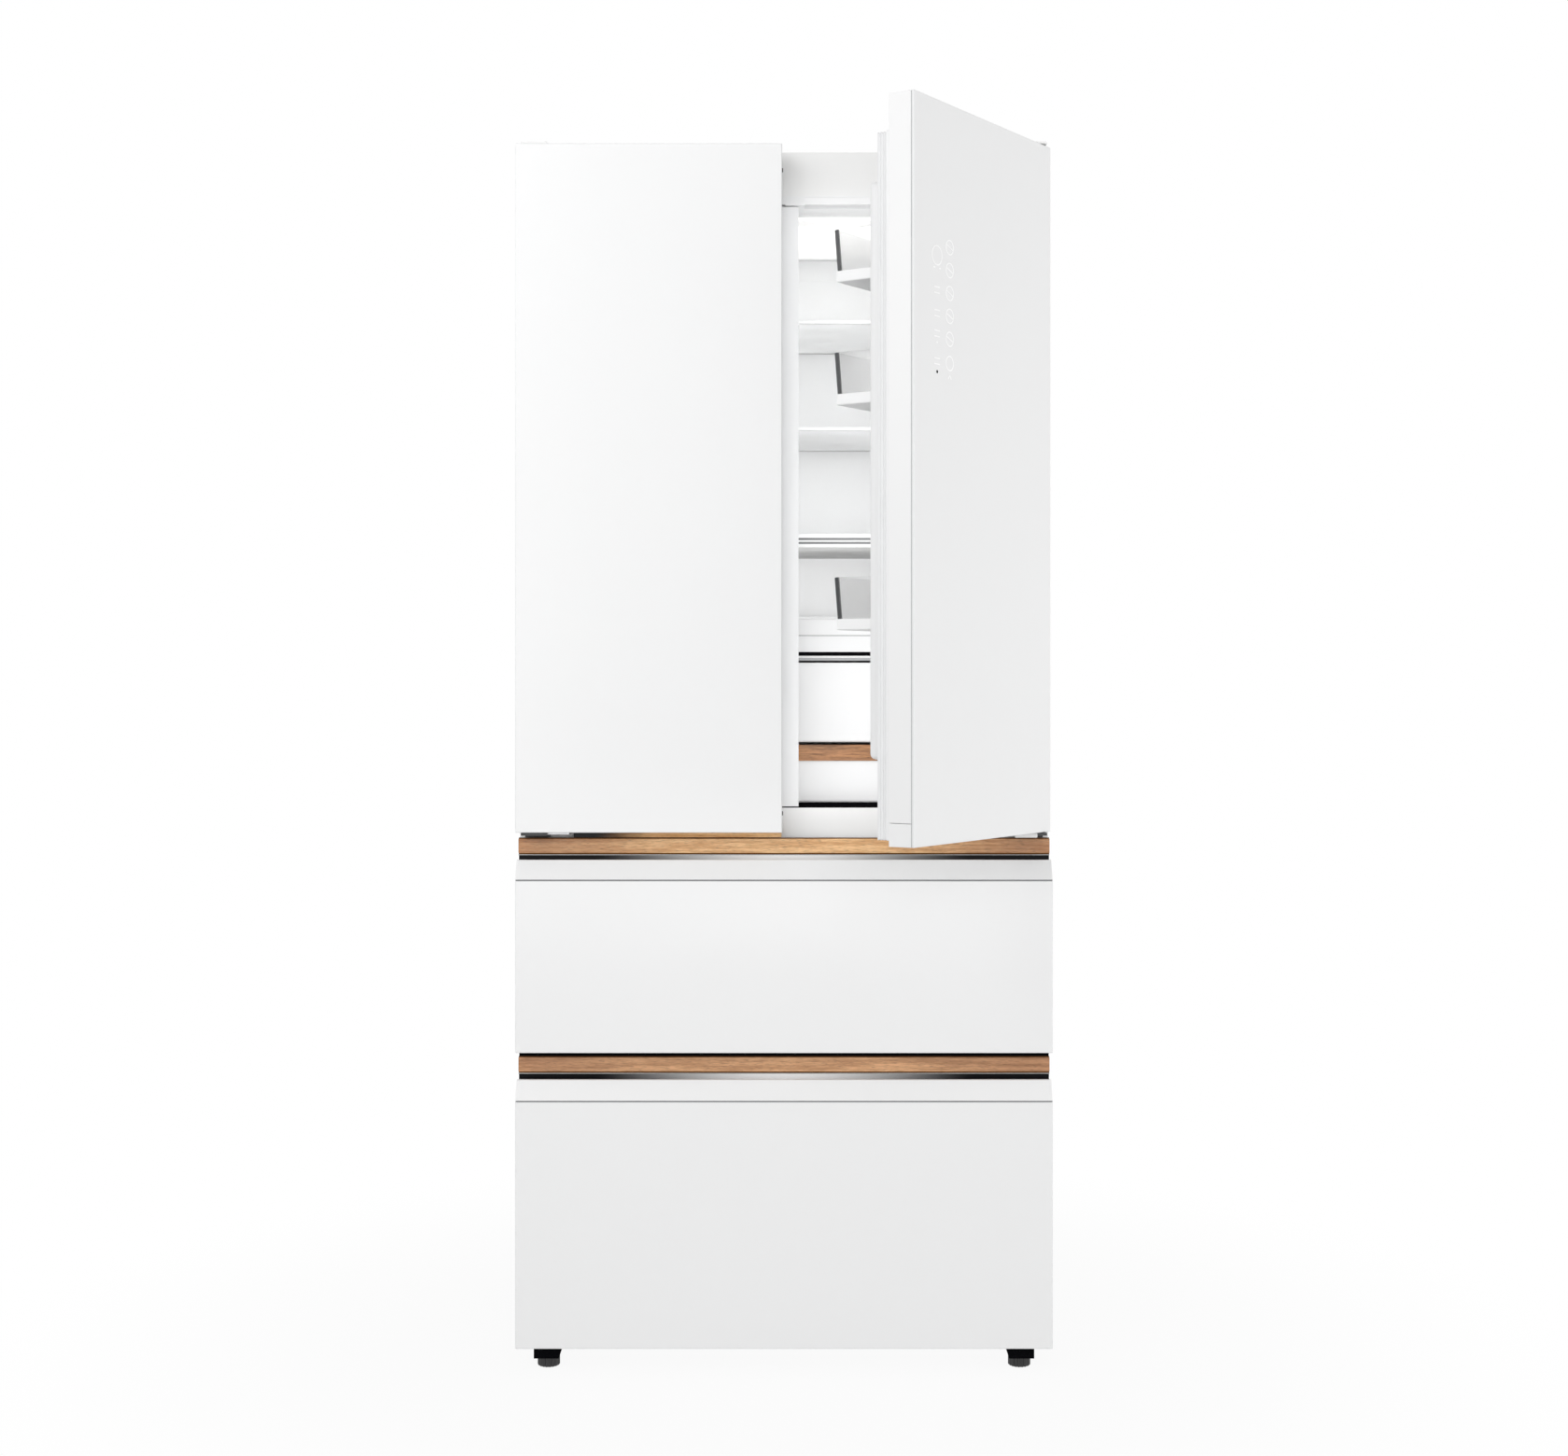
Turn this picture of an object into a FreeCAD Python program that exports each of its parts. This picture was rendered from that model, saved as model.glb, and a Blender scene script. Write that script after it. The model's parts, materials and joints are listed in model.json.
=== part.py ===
"""Free-standing refrigerator: two fridge doors over two full-width drawers.

The front faces -Y, +X is to the right and +Z is up. The origin is on the floor, centred on the width
and on the depth from the free edge of the open right door to the back panel. Millimetres.
"""
import FreeCAD, Part
import os
import re
import Sketcher

# Driving dimensions: name, value, meaning
SIZES = [
    ("width", 833, "cabinet width over the side panels"),
    ("height", 1904.4, "floor to cabinet top"),
    ("front_setback", 174, "origin to the closed front plane"),
    ("cabinet_depth", 594, "front flange to the back panel"),
    ("base_bottom", 34.4, "floor to the base pan and the lower drawer"),
    ("sheet_wall", 1, "outer steel sheet"),
    ("base_wall", 1.5, "base pan sheet"),
    ("liner_wall", 2, "inner liner"),
    ("beam_wall", 1.5, "cross rail sheet"),
    ("beam_depth", 24, "cross rail depth"),
    ("side_insulation", 45.5, "cabinet side to the compartments"),
    # fridge compartment
    ("fridge_rise", 35, "doors' bottom to the fridge compartment's floor"),
    ("roof_insulation", 84, "fridge compartment's ceiling to the cabinet top"),
    ("fridge_depth", 472, "depth of the fridge compartment"),
    ("header_height", 13, "step above the ceiling edge"),
    ("header_depth", 24, "depth of that step"),
    # layers of a door or drawer front
    ("glass_wall", 4, "front glass"),
    ("case_depth", 38, "door case"),
    ("step_depth", 8, "inner liner step"),
    ("gasket_depth", 15.5, "magnetic gasket"),
    ("seal_gap", 0.5, "closed gasket to the flange"),
    # doors
    ("door_rise", 10.7, "upper wood strip to the doors"),
    ("door_top_gap", 1.5, "doors below the cabinet top"),
    ("door_gap", 6, "between the closed doors"),
    ("door_angle", 55.6, "right door's opening at rest"),
    ("pivot_inset", 28, "hinge axis in from the cabinet side"),
    ("pivot_setback", 15, "hinge axis behind the front plane"),
    ("step_margin", 4, "case edge to the liner step"),
    ("step_bottom_margin", 8, "case bottom to the liner step"),
    ("step_top_margin", 50, "liner step to the case top"),
    ("gasket_margin", 8, "case edge to the gasket"),
    ("gasket_hinge_margin", 26, "case edge to the gasket on the hinge side"),
    ("gasket_width", 18, "gasket ring width"),
    ("rim_margin", 45, "case edge to the liner's raised rim"),
    ("rim_hinge_margin", 58, "case edge to the rim on the hinge side"),
    ("rim_wall", 12, "raised rim thickness"),
    ("rim_depth", 55, "raised rim height off the step"),
    ("rim_rise", 121, "case bottom to the raised rim"),
    ("rim_drop", 108.5, "raised rim to the case top"),
    ("bin_gap", 0.4, "bin to its seat on the liner"),
    ("bin_depth", 121, "bin front to back"),
    ("bin_height", 78, "bin base to guard edge"),
    ("bin_base", 14, "bin base thickness"),
    ("bin_wall", 2.5, "bin wall"),
    ("top_bin_drop", 138, "rim's top to the top bin's foot"),
    ("middle_bin_rise", 75, "midway between the outer bins to the middle bin"),
    ("low_bin_rise", 189, "rim's foot to the low bin"),
    # hinges
    ("pin_radius", 5, "hinge pin"),
    ("pin_depth", 18, "pin inside the door"),
    ("pin_slack", 0.05, "running clearance round every pin"),
    ("pin_end_gap", 1, "pin end to the bottom of its hole"),
    ("plate_wall", 3, "top hinge plate"),
    ("bracket_wall", 4, "lower hinge bracket"),
    ("plate_half", 20, "half width of the hinge plates"),
    ("plate_nose", 8, "hinge axis to the plate's front edge"),
    ("plate_reach", 84, "top plate behind the flange"),
    ("bracket_drop", 38, "lower bracket's tab below its plate"),
    ("bracket_gap", 1, "lower bracket to the door"),
    ("screw_radius", 2.4, "hinge screw shank"),
    ("screw_slack", 0.1, "round the screw shank"),
    ("head_radius", 5, "hinge screw head"),
    ("head_height", 3, "hinge screw head height"),
    ("screw_first", 30, "flange to the first top screw"),
    ("screw_pitch", 30, "between the top screws"),
    ("tab_screw_drop", 20, "lower bracket plate to its screws"),
    ("tab_screw_half", 10, "hinge axis to the lower screws"),
    ("cover_gap", 6, "hinge plate to the cover's sides"),
    ("cover_front", 10, "flange to the hinge cover"),
    ("cover_height", 8.5, "hinge cover"),
    ("cover_wall", 1.5, "hinge cover wall"),
    # flip mullion
    ("mullion_half", 23, "middle line to the mullion's free edge"),
    ("mullion_wall", 20, "mullion thickness"),
    ("mullion_end_gap", 2, "mullion to the opening's floor and ceiling"),
    ("mullion_pivot", 32, "middle line to the mullion's axis"),
    ("mullion_pivot_depth", 11, "flange to the mullion's axis"),
    ("knuckle_radius", 8, "mullion knuckle"),
    ("knuckle_height", 20, "mullion knuckle height"),
    ("lug_height", 10, "mullion lug on the door liner"),
    ("lug_inset", 14, "rim end to the lug"),
    ("lug_gap", 0.3, "lug to its knuckle"),
    ("lug_pin_radius", 3, "mullion hinge pin"),
    ("guide_left", 2, "middle line to the guide block"),
    ("guide_width", 30, "guide block width"),
    ("slot_wall", 5, "guide block's left side to the slot"),
    ("slot_width", 14, "slot in the mullion's top"),
    ("slot_depth", 17, "slot front to back, open at the rear"),
    ("slot_height", 10, "slot below the mullion's top"),
    ("guide_pin_radius", 2.5, "guide block's pin"),
    ("guide_pin_depth", 9, "flange to the guide pin"),
    # shelves and inner drawers
    ("shelf_front", 112, "flange to the shelf trims"),
    ("shelf_back_gap", 17, "shelf to the rear wall"),
    ("shelf_side_gap", 2.5, "shelf to the side wall"),
    ("shelf_glass_wall", 4, "shelf glass"),
    ("trim_depth", 12, "shelf trim front to back"),
    ("trim_height", 5, "upper and middle shelf trim"),
    ("deep_trim_height", 22, "lower shelf trim"),
    ("upper_shelf_drop", 163, "ceiling to the upper shelf's top"),
    ("lower_shelf_rise", 139, "crisper cover to the lower shelf's top"),
    ("rib_width", 10, "shelf rib on the liner"),
    ("rib_height", 6, "shelf rib height"),
    ("fascia_rise", 301, "compartment floor to the crisper cover's top"),
    ("fascia_height", 68, "crisper cover's front face"),
    ("fascia_wall", 8, "crisper cover's front thickness"),
    ("cover_plate_drop", 2, "crisper cover's plate below its front edge"),
    ("tub_front", 116, "flange to the inner drawers"),
    ("tub_back_gap", 26, "inner drawer to the rear wall"),
    ("tub_side_gap", 8, "inner drawer to the side wall"),
    ("tub_wall", 3, "inner drawer wall"),
    ("tub_lift", 0.3, "inner drawer above its runner"),
    ("chill_rise", 100, "compartment floor to the chill drawer"),
    ("chill_height", 130, "chill drawer height"),
    ("chill_rib_width", 20, "chill drawer's runner on the liner"),
    ("crisper_lift", 1.6, "compartment floor to the crisper"),
    ("crisper_height", 90.4, "crisper height"),
    ("crisper_runner_inset", 40, "side wall to the crisper's runners"),
    ("inner_strip_rise", 68.4, "crisper's bottom to its wood strip"),
    ("inner_strip_height", 26, "crisper's wood strip height"),
    ("inner_strip_wall", 3, "crisper's wood strip thickness"),
    ("lamp_side_gap", 111, "side wall to the ceiling lamp"),
    ("lamp_front", 88, "flange to the ceiling lamp"),
    ("lamp_depth", 322, "ceiling lamp front to back"),
    ("lamp_wall", 6, "ceiling lamp below the ceiling"),
    ("duct_half", 185, "half width of the rear duct cover"),
    ("duct_rise", 14, "crisper cover to the rear duct cover"),
    ("duct_drop", 36, "rear duct cover to the ceiling"),
    ("duct_wall", 10, "rear duct cover thickness"),
    ("vent_height", 8, "vent slot height"),
    ("vent_width", 18, "vent slot width in the rear duct cover"),
    ("vent_inset", 10, "rear duct cover's edge to its vent slots"),
    ("vent_rows", 2, "vent slots above each shelf on either side"),
    ("vent_first", 24, "shelf to its first vent slot"),
    ("vent_pitch", 24, "between vent slots"),
    # drawers
    ("drawer_rise", 12, "lower wood strip to the upper drawer"),
    ("upper_height", 297.8, "upper drawer front to its lip"),
    ("upper_depth", 440, "upper drawer compartment depth"),
    ("upper_basket_height", 165, "upper basket"),
    ("lower_height", 413.5, "lower drawer front to its lip"),
    ("lower_depth", 370, "lower drawer compartment depth"),
    ("lower_basket_height", 270, "lower basket"),
    ("opening_rise", 24, "drawer front's bottom to its compartment"),
    ("opening_drop", 46, "compartment to the drawer lip"),
    ("lip_height", 29, "bevelled lip"),
    ("lip_lean", 20, "bevelled lip's run back"),
    ("lip_wall", 7, "lip thickness at the top"),
    ("lip_line", 1, "line between glass and lip"),
    ("pull_gap", 20, "finger gap behind the lip"),
    ("pull_depth", 20, "finger gap below the lip's top"),
    ("pull_floor", 6, "material under the finger gap"),
    ("pull_wall", 8, "wall behind the finger gap"),
    ("strip_gap", 7, "lip top to the wood strip"),
    ("strip_height", 26, "wood strip"),
    ("strip_wall", 3, "wood strip thickness at its top"),
    ("strip_lean", 3, "wood strip's lean"),
    ("front_step_margin", 6, "drawer front's edge to its inner step"),
    ("front_gasket_margin", 10, "drawer front's edge to its gasket"),
    ("front_gasket_drop", 4, "drawer lip's foot to the gasket"),
    ("basket_lift", 12, "compartment floor to the basket"),
    ("basket_wall", 2.5, "basket wall"),
    ("basket_back_gap", 25, "basket to the compartment's rear wall"),
    ("rail_space", 23, "basket to the compartment's side wall"),
    ("rail_height", 44, "fixed rail"),
    ("rail_wall", 2, "rail sheet"),
    ("rail_gap", 0.4, "between rail members"),
    ("rail_cover", 16, "fixed rail's lips"),
    ("rail_lift", 30, "basket bottom to the rails"),
    ("rail_front_gap", 6, "flange to the rails"),
    ("rail_back_gap", 20, "rails to the compartment's rear wall"),
    # feet and rollers
    ("foot_inset", 48.5, "cabinet side to the foot's axis"),
    ("foot_setback", 35, "front plane to the foot's axis"),
    ("foot_radius", 17.5, "foot knob"),
    ("foot_height", 14.5, "foot knob height"),
    ("foot_groove", 1, "radius of the knob's grip grooves"),
    ("foot_grooves", 24, "number of grip grooves"),
    ("stem_radius", 5, "foot screw"),
    ("stem_height", 17, "foot screw above the knob"),
    ("foot_gap", 0.4, "knob to its bracket"),
    ("mount_outer", 21.5, "foot axis to the bracket's outer side"),
    ("mount_inner", 23.5, "foot axis to the bracket's inner top edge"),
    ("mount_slant", 6, "slant of the bracket's inner side"),
    ("mount_nose", 20, "foot axis to the bracket's front"),
    ("mount_reach", 70, "bracket behind the flange"),
    ("mount_gap", 1, "bracket to the lower drawer"),
    ("mount_riser", 6, "flange to the bracket's raised seat"),
    ("roller_radius", 15.5, "rear roller"),
    ("roller_width", 24, "rear roller width"),
    ("roller_inset", 76.5, "cabinet side to the roller's middle"),
    ("roller_setback", 60, "back panel to the roller's axle"),
    ("roller_gap", 0.5, "roller to its ears"),
    ("axle_radius", 4, "roller axle"),
    ("ear_wall", 3, "roller ear"),
    ("ear_half", 14, "roller ear half length"),
    ("ear_drop", 10, "axle to the ear's lower edge"),
    # machine bay and cold circuit
    ("bay_depth", 209, "machine bay front wall to the back panel"),
    ("bay_height", 286, "base pan to the machine bay's roof"),
    ("bay_cover_wall", 2, "machine bay cover"),
    ("bay_cover_gap", 3, "machine bay cover to the bay's edges"),
    ("gland_radius", 11, "cord gland"),
    ("gland_bore", 5, "cord gland bore radius"),
    ("gland_depth", 18, "cord gland length"),
    ("gland_inset", 116.5, "cabinet side to the cord gland"),
    ("gland_lift", 76, "base pan to the cord gland"),
    ("bay_vents", 6, "number of bay cover vents"),
    ("bay_vent_half", 140, "half width of a bay cover vent"),
    ("bay_vent_pitch", 22, "between bay cover vents"),
    ("compressor_inset", 166.5, "cabinet side to the compressor's axis"),
    ("compressor_radius", 78, "compressor shell"),
    ("compressor_height", 165, "compressor shell height"),
    ("compressor_crown", 40, "compressor dome height"),
    ("compressor_plate", 4, "compressor mounting plate"),
    ("damper_radius", 12, "compressor rubber foot"),
    ("damper_height", 14, "compressor rubber foot height"),
    ("damper_spread", 66, "compressor axis to its rubber feet"),
    ("condenser_inset", 46.5, "cabinet side to the condenser"),
    ("condenser_width", 240, "condenser length"),
    ("condenser_depth", 120, "condenser front to back"),
    ("condenser_height", 190, "condenser height"),
    ("fin_wall", 1, "coil fin"),
    ("fin_count", 14, "fins on a coil"),
    ("tube_radius", 5, "coil tube"),
    ("fan_gap", 60, "fan hub's motor face to the condenser"),
    ("fan_radius", 76, "fan blade tip"),
    ("fan_lift", 110, "base pan to the fan's axis"),
    ("fan_blades", 5, "number of fan blades"),
    ("hub_radius", 18, "fan hub"),
    ("hub_length", 22, "fan hub length"),
    ("blade_wall", 2, "fan blade"),
    ("blade_pitch", 9, "fan blade's half rise"),
    ("blade_half", 14, "fan blade's half chord"),
    ("shaft_radius", 3, "fan shaft"),
    ("shaft_end_gap", 4, "shaft end to the hub's face"),
    ("motor_radius", 24, "fan motor"),
    ("motor_length", 40, "fan motor length"),
    ("motor_gap", 3, "motor to the fan hub"),
    ("motor_foot_half", 20, "half width of the motor's stand"),
    ("motor_foot_wall", 6, "motor stand"),
    ("evaporator_side_gap", 131, "side wall to the evaporator"),
    ("evaporator_depth", 60, "evaporator front to back"),
    ("evaporator_height", 300, "evaporator height"),
    ("evaporator_room", 6, "evaporator to its chamber's walls"),
]

# Places worked out from those sizes
PLACES = {
    "half_width": "width / 2",
    "front": "0 - front_setback",
    "case_front": "front + glass_wall",
    "case_back": "case_front + case_depth",
    "step_back": "case_back + step_depth",
    "gasket_back": "step_back + gasket_depth",
    "flange": "gasket_back + seal_gap",
    "back": "flange + cabinet_depth",
    "sheet_top": "height - sheet_wall",
    "base_top": "base_bottom + base_wall",
    "opening_half": "half_width - side_insulation",
    "liner_half": "opening_half + liner_wall",
    "fridge_back": "flange + fridge_depth",
    "fridge_bottom": "door_bottom + fridge_rise",
    "fridge_top": "height - roof_insulation",
    "header_top": "fridge_top + header_height",
    "header_back": "flange + header_depth",
    "door_bottom": "upper_top + strip_gap + strip_height + door_rise",
    "door_top": "height - door_top_gap",
    "door_width": "(width - door_gap) / 2",
    "pivot_x": "half_width - pivot_inset",
    "pivot_y": "front + pivot_setback",
    "pin_hole": "pin_radius + pin_slack",
    "step_bottom": "door_bottom + step_bottom_margin",
    "step_top": "door_top - step_top_margin",
    "rim_bottom": "door_bottom + rim_rise",
    "rim_top": "door_top - rim_drop",
    "top_bin": "rim_top - top_bin_drop",
    "low_bin": "rim_bottom + low_bin_rise",
    "middle_bin": "(top_bin + low_bin) / 2 + middle_bin_rise",
    "bracket_top": "door_bottom - bracket_gap",
    "bracket_bottom": "bracket_top - bracket_wall",
    "plate_top": "height + plate_wall",
    "mullion_bottom": "fridge_bottom + mullion_end_gap",
    "mullion_top": "fridge_top - mullion_end_gap",
    "mullion_axis_y": "flange + mullion_pivot_depth",
    "low_lug": "rim_bottom + lug_inset",
    "high_lug": "rim_top - lug_inset - lug_height",
    "slot_left": "guide_left + slot_wall",
    "guide_pin_x": "slot_left + slot_width / 2",
    "guide_pin_y": "flange + guide_pin_depth",
    "shelf_half": "opening_half - shelf_side_gap",
    "shelf_y": "flange + shelf_front",
    "shelf_back": "fridge_back - shelf_back_gap",
    "fascia_top": "fridge_bottom + fascia_rise",
    "cover_plate_top": "fascia_top - cover_plate_drop",
    "upper_shelf": "fridge_top - upper_shelf_drop",
    "lower_shelf": "fascia_top + lower_shelf_rise",
    "middle_shelf": "(upper_shelf + lower_shelf) / 2",
    "tub_y": "flange + tub_front",
    "tub_back": "fridge_back - tub_back_gap",
    "tub_half": "opening_half - tub_side_gap",
    "chill_bottom": "fridge_bottom + chill_rise",
    "crisper_bottom": "fridge_bottom + crisper_lift",
    "inner_strip_bottom": "crisper_bottom + inner_strip_rise",
    "lamp_half": "opening_half - lamp_side_gap",
    "duct_bottom": "fascia_top + duct_rise",
    "duct_top": "fridge_top - duct_drop",
    "vent_outer": "duct_half - vent_inset",
    "bay_front": "back - bay_depth",
    "bay_roof": "base_top + bay_height",
    "bay_middle": "back - bay_depth / 2",
    "evaporator_front": "flange + upper_depth + liner_wall + evaporator_room",
    "evaporator_bottom": "bay_roof + sheet_wall + evaporator_room",
    "evaporator_half": "opening_half - evaporator_side_gap",
    "compressor_x": "half_width - compressor_inset",
    "condenser_right": "half_width - condenser_inset",
    "condenser_left": "condenser_right - condenser_width",
    "fan_x": "condenser_left - fan_gap",
    "fan_axis": "base_top + fan_lift",
    "gland_x": "half_width - gland_inset",
    "roller_y": "back - roller_setback",
    "roller_x": "half_width - roller_inset",
    "foot_x": "half_width - foot_inset",
    "foot_y": "front + foot_setback",
    "mount_bottom": "foot_height + foot_gap",
    "mount_top": "base_bottom - mount_gap",
    "lip_back": "front + lip_lean + lip_wall",
    "pull_back": "lip_back + pull_gap",
    "rail_outer": "opening_half",
    "rail_inner": "opening_half - rail_space",
    "upper_bottom": "lower_top + strip_gap + strip_height + drawer_rise",
    "upper_top": "upper_bottom + upper_height",
    "lower_bottom": "base_bottom",
    "lower_top": "lower_bottom + lower_height",
    "upper_floor": "upper_bottom + opening_rise",
    "upper_roof": "upper_top - opening_drop",
    "lower_floor": "lower_bottom + opening_rise",
    "lower_roof": "lower_top - opening_drop",
    "upper_rear": "flange + upper_depth",
    "lower_rear": "flange + lower_depth",
}

doc = FreeCAD.newDocument("Refrigerator")
sheet = doc.addObject("Spreadsheet::Sheet", "Sizes")
for row, (name, value, meaning) in enumerate(SIZES, start=1):
    sheet.set(f"A{row}", meaning)
    sheet.set(f"B{row}", str(value))
    sheet.setAlias(f"B{row}", name)
doc.recompute()

ALIASES = {name for name, _, _ in SIZES}
corners = {}
pieces = []


def formula(text):
    """A text of size and place names, written as an expression on the sheet."""

    def spelled(match):
        word = match.group(0)
        if word in PLACES:
            return f"({formula(PLACES[word])})"
        if word in ALIASES:
            return f"Sizes.{word}"
        return word

    return re.sub(r"[a-z_]+", spelled, text)


def number(text):
    """The value of such a text in millimetres."""
    return float(sheet.evalExpression(formula(text)))


def both(text):
    """The span from minus a place to that place."""
    return f"0 - ({text})", text


def both_sides(inner, outer):
    """A span on the right and its twin on the left."""
    return (inner, outer), (f"0 - ({outer})", f"0 - ({inner})")


def bind_base(thing, x, y, z):
    """Tie where a thing stands to the sheet."""
    for axis, text in zip("xyz", (x, y, z)):
        thing.setExpression(f"Placement.Base.{axis}", formula(text))


def block(x, y, z):
    """A box between two places on each axis."""
    made = doc.addObject("Part::Box", "Block")
    for side, (low, high) in zip(("Length", "Width", "Height"), (x, y, z)):
        made.setExpression(side, formula(f"({high}) - ({low})"))
    corners[made.Name] = (x[0], y[0], z[0])
    bind_base(made, x[0], y[0], z[0])
    return made


TURNS = {
    "x": FreeCAD.Rotation(FreeCAD.Vector(0, 1, 0), 90),
    "y": FreeCAD.Rotation(FreeCAD.Vector(1, 0, 0), -90),
    "z": FreeCAD.Rotation(),
}


def rod(radius, start, length, along="z"):
    """A round bar from a start point, along one axis."""
    made = doc.addObject("Part::Cylinder", "Rod")
    made.Placement = FreeCAD.Placement(FreeCAD.Vector(), TURNS[along])
    made.setExpression("Radius", formula(radius))
    made.setExpression("Height", formula(length))
    bind_base(made, *start)
    return made


def join(*things):
    """Several overlapping or touching solids as one."""
    made = doc.addObject("Part::MultiFuse", "Join")
    made.Shapes = list(things)
    made.Refine = True
    return made


def cut(base, *tools):
    """A solid less one or more others."""
    made = doc.addObject("Part::Cut", "Cut")
    made.Base = base
    made.Tool = tools[0] if len(tools) == 1 else group(*tools)
    return made


def group(*things):
    """Separate solids kept as one set."""
    made = doc.addObject("Part::Compound", "Set")
    made.Links = list(things)
    return made


def ring(x, y, z, rim):
    """A rectangular frame that is open along Y, with a rim of one width."""
    inner_x = (f"{x[0]} + {rim}", f"{x[1]} - {rim}")
    inner_z = (f"{z[0]} + {rim}", f"{z[1]} - {rim}")
    return cut(block(x, y, z), block(inner_x, y, inner_z))


def outline(body, role, points):
    """A closed outline of straight sides on one of the body's own planes, each corner tied to the sheet."""
    sketch = body.newObject("Sketcher::SketchObject", "Outline")
    plane = next(item for item in body.Origin.OriginFeatures if item.Role == role)
    sketch.AttachmentSupport = [(plane, "")]
    sketch.MapMode = "FlatFace"
    spots = [FreeCAD.Vector(number(across), number(up), 0) for across, up in points]
    count = len(points)
    for i in range(count):
        sketch.addGeometry(Part.LineSegment(spots[i], spots[(i + 1) % count]), False)
    for i in range(count):
        sketch.addConstraint(Sketcher.Constraint("Coincident", i, 2, (i + 1) % count, 1))
    for i, (across, up) in enumerate(points):
        for kind, text, start in (("DistanceX", across, spots[i].x), ("DistanceY", up, spots[i].y)):
            made = sketch.addConstraint(Sketcher.Constraint(kind, -1, 1, i, 1, start))
            sketch.renameConstraint(made, f"{kind}_{i}")
            sketch.setExpression(f"Constraints.{kind}_{i}", formula(text))
    return sketch


def extrusion(role, points, start, end):
    """A straight-sided outline drawn out from one place to another."""
    body = doc.addObject("PartDesign::Body", "Extrusion")
    pad = body.newObject("PartDesign::Pad", "Pad")
    pad.Profile = outline(body, role, points)
    pad.setExpression("Length", formula(f"({end}) - ({start})"))
    axis = {"YZ_Plane": "x", "XZ_Plane": "y", "XY_Plane": "z"}[role]
    pad.Reversed = axis == "y"
    body.setExpression(f"Placement.Base.{axis}", formula(start))
    return body


def turned(points):
    """A solid of revolution about its own Z axis, from corners given as radius and height."""
    body = doc.addObject("PartDesign::Body", "Turned")
    sketch = outline(body, "XZ_Plane", points)
    turn = body.newObject("PartDesign::Revolution", "Turn")
    turn.Profile = sketch
    turn.ReferenceAxis = (sketch, ["V_Axis"])
    turn.Angle = 360
    return body


def piece(label, thing):
    """Name a finished piece."""
    thing.Label = label
    pieces.append(thing)
    return thing


def hang(label, thing, side):
    """Name a door's piece, drawn about its hinge axis, and carry it to that axis at the door's angle."""
    x, y, z = corners.get(thing.Name, ("0", "0", "0"))
    if side == "left":
        bind_base(thing, f"({x}) - pivot_x", f"pivot_y + ({y})", z)
        return piece(label, thing)
    turn_cos = "cos(door_angle * 1 deg)"
    turn_sin = "sin(door_angle * 1 deg)"
    bind_base(
        thing,
        f"pivot_x + ({x}) * {turn_cos} - ({y}) * {turn_sin}",
        f"pivot_y + ({x}) * {turn_sin} + ({y}) * {turn_cos}",
        z,
    )
    thing.setExpression("Placement.Rotation.Angle", formula("door_angle"))
    thing.setExpression("Placement.Rotation.Axis.z", "1")
    return piece(label, thing)


def side_panel(side):
    """A steel side with its front edge folded inwards as the sealing flange."""
    sign = "" if side == "right" else "0 - "
    outer = f"{sign}half_width"
    inner = f"{sign}(half_width - sheet_wall)"
    fold = f"{sign}liner_half"
    points = [
        (outer, "flange"),
        (outer, "back"),
        (inner, "back"),
        (inner, "flange + sheet_wall"),
        (fold, "flange + sheet_wall"),
        (fold, "flange"),
    ]
    piece(f"{side}_side_panel", extrusion("XY_Plane", points, "base_top", "sheet_top"))


def cabinet_panels():
    """Sides, top, back with the machine bay's step, and base pan with roller ears and axles."""
    side_panel("left")
    side_panel("right")
    roof = block(both("half_width"), ("flange", "back"), ("sheet_top", "height"))
    fold = ("flange", "flange + sheet_wall")
    top_fold = block(both("liner_half"), fold, ("header_top + liner_wall", "sheet_top"))
    piece("top_panel", join(roof, top_fold))
    back_points = [
        ("back - sheet_wall", "sheet_top"),
        ("back", "sheet_top"),
        ("back", "bay_roof"),
        ("bay_front + sheet_wall", "bay_roof"),
        ("bay_front + sheet_wall", "base_top"),
        ("bay_front", "base_top"),
        ("bay_front", "bay_roof + sheet_wall"),
        ("back - sheet_wall", "bay_roof + sheet_wall"),
    ]
    inner_half = "half_width - sheet_wall"
    piece("back_panel", extrusion("YZ_Plane", back_points, f"0 - ({inner_half})", inner_half))
    floor = block(both("half_width"), ("flange", "back"), ("base_bottom", "base_top"))
    base_fold = block(both("liner_half"), fold, ("base_top", "lower_floor - liner_wall"))
    base = [floor, base_fold]
    ear_inner = "roller_width / 2 + roller_gap"
    ear_y = ("roller_y - ear_half", "roller_y + ear_half")
    ear_z = ("roller_radius - ear_drop", "base_bottom")
    for middle in ("roller_x", "0 - roller_x"):
        low = f"{middle} - ({ear_inner})"
        high = f"{middle} + {ear_inner}"
        base.append(block((f"{low} - ear_wall", low), ear_y, ear_z))
        base.append(block((high, f"{high} + ear_wall"), ear_y, ear_z))
        base.append(rod("axle_radius", (low, "roller_y", "roller_radius"), f"2 * ({ear_inner})", "x"))
    piece("base_pan", join(*base))


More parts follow.
